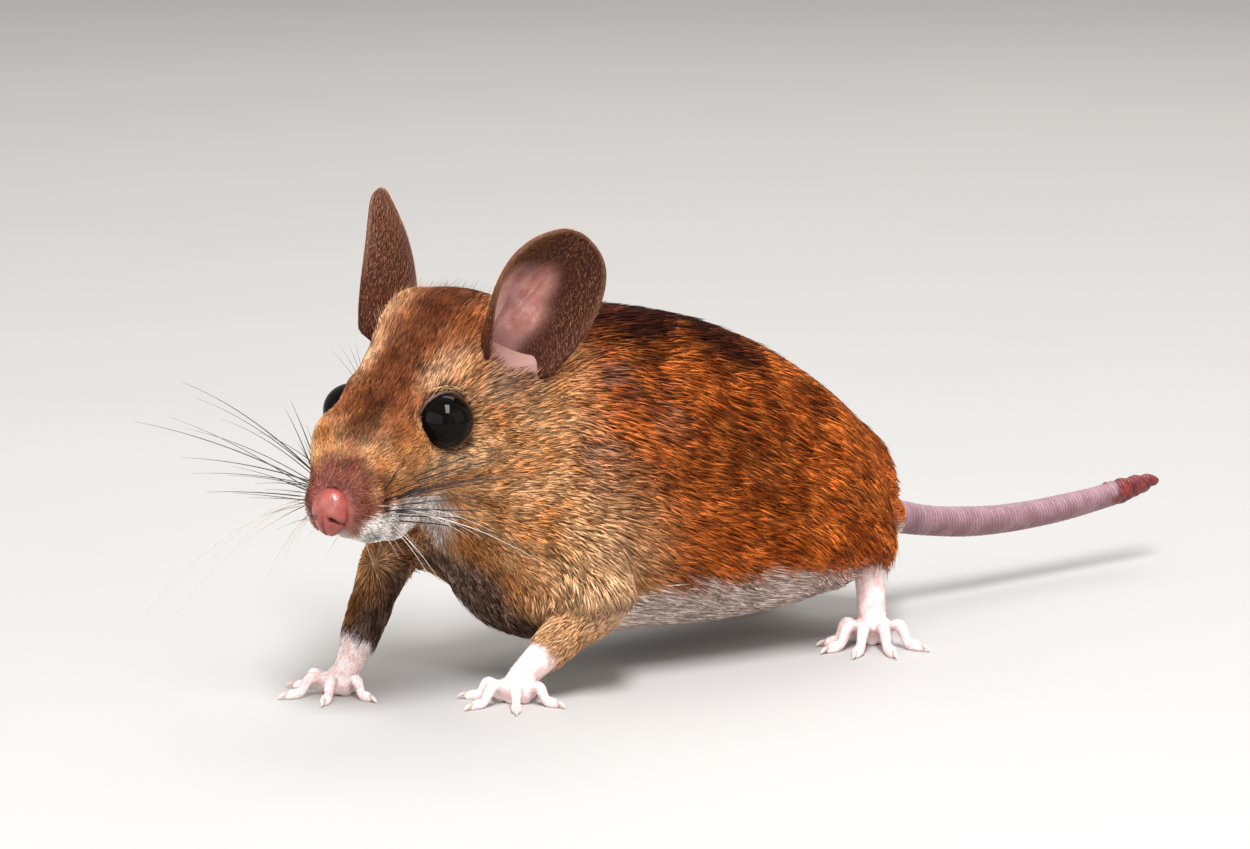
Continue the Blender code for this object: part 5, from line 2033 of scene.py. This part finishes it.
    def down(self, kind: Down, mesh: Mesh, share: Array) -> None:
        """Grows sparse fine hairs, each a thin straight point, as one piece.

        Args:
            kind: The kind of hair.
            mesh: What they grow on.
            share: How much of their full number each point of the mesh gets.
        """
        root, facing = self.sample(mesh, kind.close * share, kind.seed)
        count = len(root)
        dice = np.random.default_rng(kind.seed + 1)
        ways = np.array(kind.way) + dice.normal(0, 0.25, (count, 3))
        ways = unit(ways - facing * (ways * facing).sum(axis=1, keepdims=True)) + facing * kind.lift
        tip = root + unit(ways) * (kind.length * dice.uniform(0.6, 1.2, count))[:, None]
        rows = {"root": root - facing * 0.02, "middle": root, "tip": tip, "facing": facing,
                "width": np.full(count, kind.width), "chance": np.full(count, kind.pale),
                "shade": dice.uniform(0.3, 0.9, count)}
        middle = root.mean(axis=0)
        around = np.arctan2(root[:, 0] - middle[0], root[:, 1] - middle[1] + 1e-6)
        self.tufts(kind.name, rows, self.chart(around, root[:, 2]), fine=True)

    def down_feet(self, skin: Item) -> None:
        """Grows the down of the feet, on the skin of body and feet."""
        points = self.anatomy.mm(points_of(skin.data))
        share = self.anatomy.footness(points) * (points[:, 2] > 1.0)
        self.down(Down("down_feet", 301, 9.0, (0.2, -0.8, -0.6), 0.55, 0.035), skin.data, share)

    def down_head(self, whole: Item) -> None:
        """Grows the down of ears, crown and throat, on the whole skin."""
        ears = np.zeros(len(whole.data.vertices))
        for face in whole.data.polygons:
            if face.material_index == 1:
                ears[list(face.vertices)] = 1.0
        heads = self.anatomy.to_head(self.anatomy.mm(points_of(whole.data)))
        crown, _, _ = along_line(heads, np.array([(-6.0, 9.0, 5.5), (4.0, 9.5, 7.0)]))
        throat, _, _ = along_line(heads, np.array([(1.0, 0.0, -10.5), (5.5, 1.5, -13.0), (9.5, 2.4, -16.5)]))
        near_crown = (1 - ears) * (1 - ramp(crown, 1.5, 4))
        for kind, share in (
            (Down("down_ears", 303, 11.0, (0.0, 0.25, 0.95), 0.62, 0.026, 0.3), ears),
            (Down("down_crown", 307, 5.0, (0.1, 0.5, 0.85), 2.3, 0.07, 0.75, 0.6), near_crown),
            (Down("down_throat", 305, 2.2, (0.15, -0.3, -0.95), 3.6, 0.06), 1 - ramp(throat, 1, 3.2)),
        ):
            self.down(kind, whole.data, share)


# ---- the studio


@dataclass(frozen=True)
class Softbox:
    """A soft rectangular light: where it hangs, in degrees and metres, its size, power and colour."""

    name: str
    azimuth: float
    elevation: float
    distance: float
    size: tuple[float, float]
    power: float
    colour: Colour


@dataclass
class Studio:
    """A plain pale floor, soft lights and the camera."""

    anatomy: Anatomy
    softboxes: tuple[Softbox, ...] = (
        Softbox("key", 54.0, 62.0, 0.60, (0.15, 0.38), 5.2, (0.97, 0.98, 1.0)),
        Softbox("front", 0.0, 9.0, 1.10, (1.5, 1.1), 8.4, (1.0, 0.96, 0.91)),
        Softbox("side", 108.0, 24.0, 0.95, (0.8, 0.7), 1.7, (1.0, 0.96, 0.92)),
        Softbox("behind", 215.0, 48.0, 0.75, (0.5, 0.4), 2.3, (1.0, 0.98, 0.96)),
    )
    surroundings: Colour = (0.80, 0.79, 0.77)
    room_light: float = 0.62
    aim: Point = (-6.24, 27.62, 23.09)
    azimuth: float = 50.0
    elevation: float = 10.0
    distance: float = 525.0
    lens: float = 144.0

    def toward(self, azimuth: float, elevation: float) -> Vector:
        """The direction from the animal at an azimuth, counted from ahead to its left, and an elevation."""
        turn, rise = math.radians(azimuth), math.radians(elevation)
        return Vector((math.sin(turn) * math.cos(rise), -math.cos(turn) * math.cos(rise), math.sin(rise)))

    def camera(self) -> None:
        """Sets up the camera."""
        back = self.toward(self.azimuth, self.elevation)
        data = bpy.data.cameras.new("camera")
        data.lens = self.lens
        data.sensor_width = 36.0
        data.clip_start = 0.01
        data.clip_end = 20.0
        camera = place("camera", data)
        camera.location = Vector(self.anatomy.row(np.array(self.aim))) + back * self.distance * MM
        camera.rotation_euler = back.to_track_quat("Z", "Y").to_euler()
        bpy.context.scene.camera = camera

    def hang(self, box: Softbox) -> None:
        """Hangs one soft light that faces the animal."""
        data = bpy.data.lights.new(box.name, "AREA")
        data.shape = "RECTANGLE"
        data.size, data.size_y = box.size
        data.energy = box.power
        data.color = box.colour
        light = place(box.name, data)
        way = self.toward(box.azimuth, box.elevation)
        light.location = Vector((0, 0, 0.02)) + way * box.distance
        light.rotation_euler = way.to_track_quat("Z", "Y").to_euler()

    def lights(self) -> None:
        """Hangs the lights and sets the pale surroundings."""
        for box in self.softboxes:
            self.hang(box)
        world = bpy.data.worlds.new("pale room")
        bpy.context.scene.world = world
        world.use_nodes = True
        ground = world.node_tree.nodes["Background"]
        ground.inputs["Color"].default_value = (*self.surroundings, 1.0)
        ground.inputs["Strength"].default_value = self.room_light
        bpy.context.scene.view_settings.view_transform = "Standard"

    def floor(self) -> None:
        """Lays the floor as a flat disc."""
        deselect()
        bpy.ops.mesh.primitive_circle_add(vertices=96, radius=2.2, fill_type="NGON", location=(0, 0, 0))
        floor = bpy.context.object
        floor.name = floor.data.name = "floor"
        choose(floor)
        bpy.ops.object.mode_set(mode="EDIT")
        bpy.ops.mesh.select_all(action="SELECT")
        bpy.ops.mesh.inset(thickness=0.5, depth=0.0)
        bpy.ops.object.mode_set(mode="OBJECT")
        deselect()
        dress(floor, FloorFinish())


# ---- the whole animal


def main() -> None:
    """Builds the mouse, piece by piece."""
    logging.basicConfig(level=logging.INFO, format="%(message)s", stream=sys.stdout)
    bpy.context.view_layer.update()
    anatomy = Anatomy()
    markings = Markings(anatomy)
    studio = Studio(anatomy)
    studio.camera()
    studio.lights()
    studio.floor()
    LOG.info("studio set, model shifted by %s mm", np.round(anatomy.shift, 2))

    paws = [Paw(anatomy, kind, side) for kind in PawKind for side in Side]
    skin_maker = Skin(anatomy, markings, paws)
    skin = skin_maker.build()
    LOG.info("skin: %d triangles", len(triangles_of(skin.data)))
    surface = BVHTree.FromPolygons(points_of(skin.data).tolist(), triangles_of(skin.data).tolist(),
                                   all_triangles=True)
    coat = Coat(anatomy, markings, skin_maker, thickness=1.0)
    coat.grow(skin, surface)
    coat.down_feet(skin)
    for paw in paws:
        claws = paw.claws()
        LOG.info("%s: %d triangles", claws.name, len(triangles_of(claws.data)))
    for side in Side:
        whiskers = Whiskers(anatomy, side).build()
        LOG.info("%s: %d triangles", whiskers.name, len(triangles_of(whiskers.data)))
        eye = Eye(anatomy, side).build()
        LOG.info("%s done", eye.name)
    nose = Nose(anatomy).build()
    LOG.info("%s done", nose.name)
    whole = skin_maker.finish(skin, [Ear(anatomy, side) for side in Side], Tail(anatomy))
    LOG.info("%s: %d triangles in all", whole.name, len(triangles_of(whole.data)))
    coat.down_head(whole)


if __name__ == "__main__":
    main()
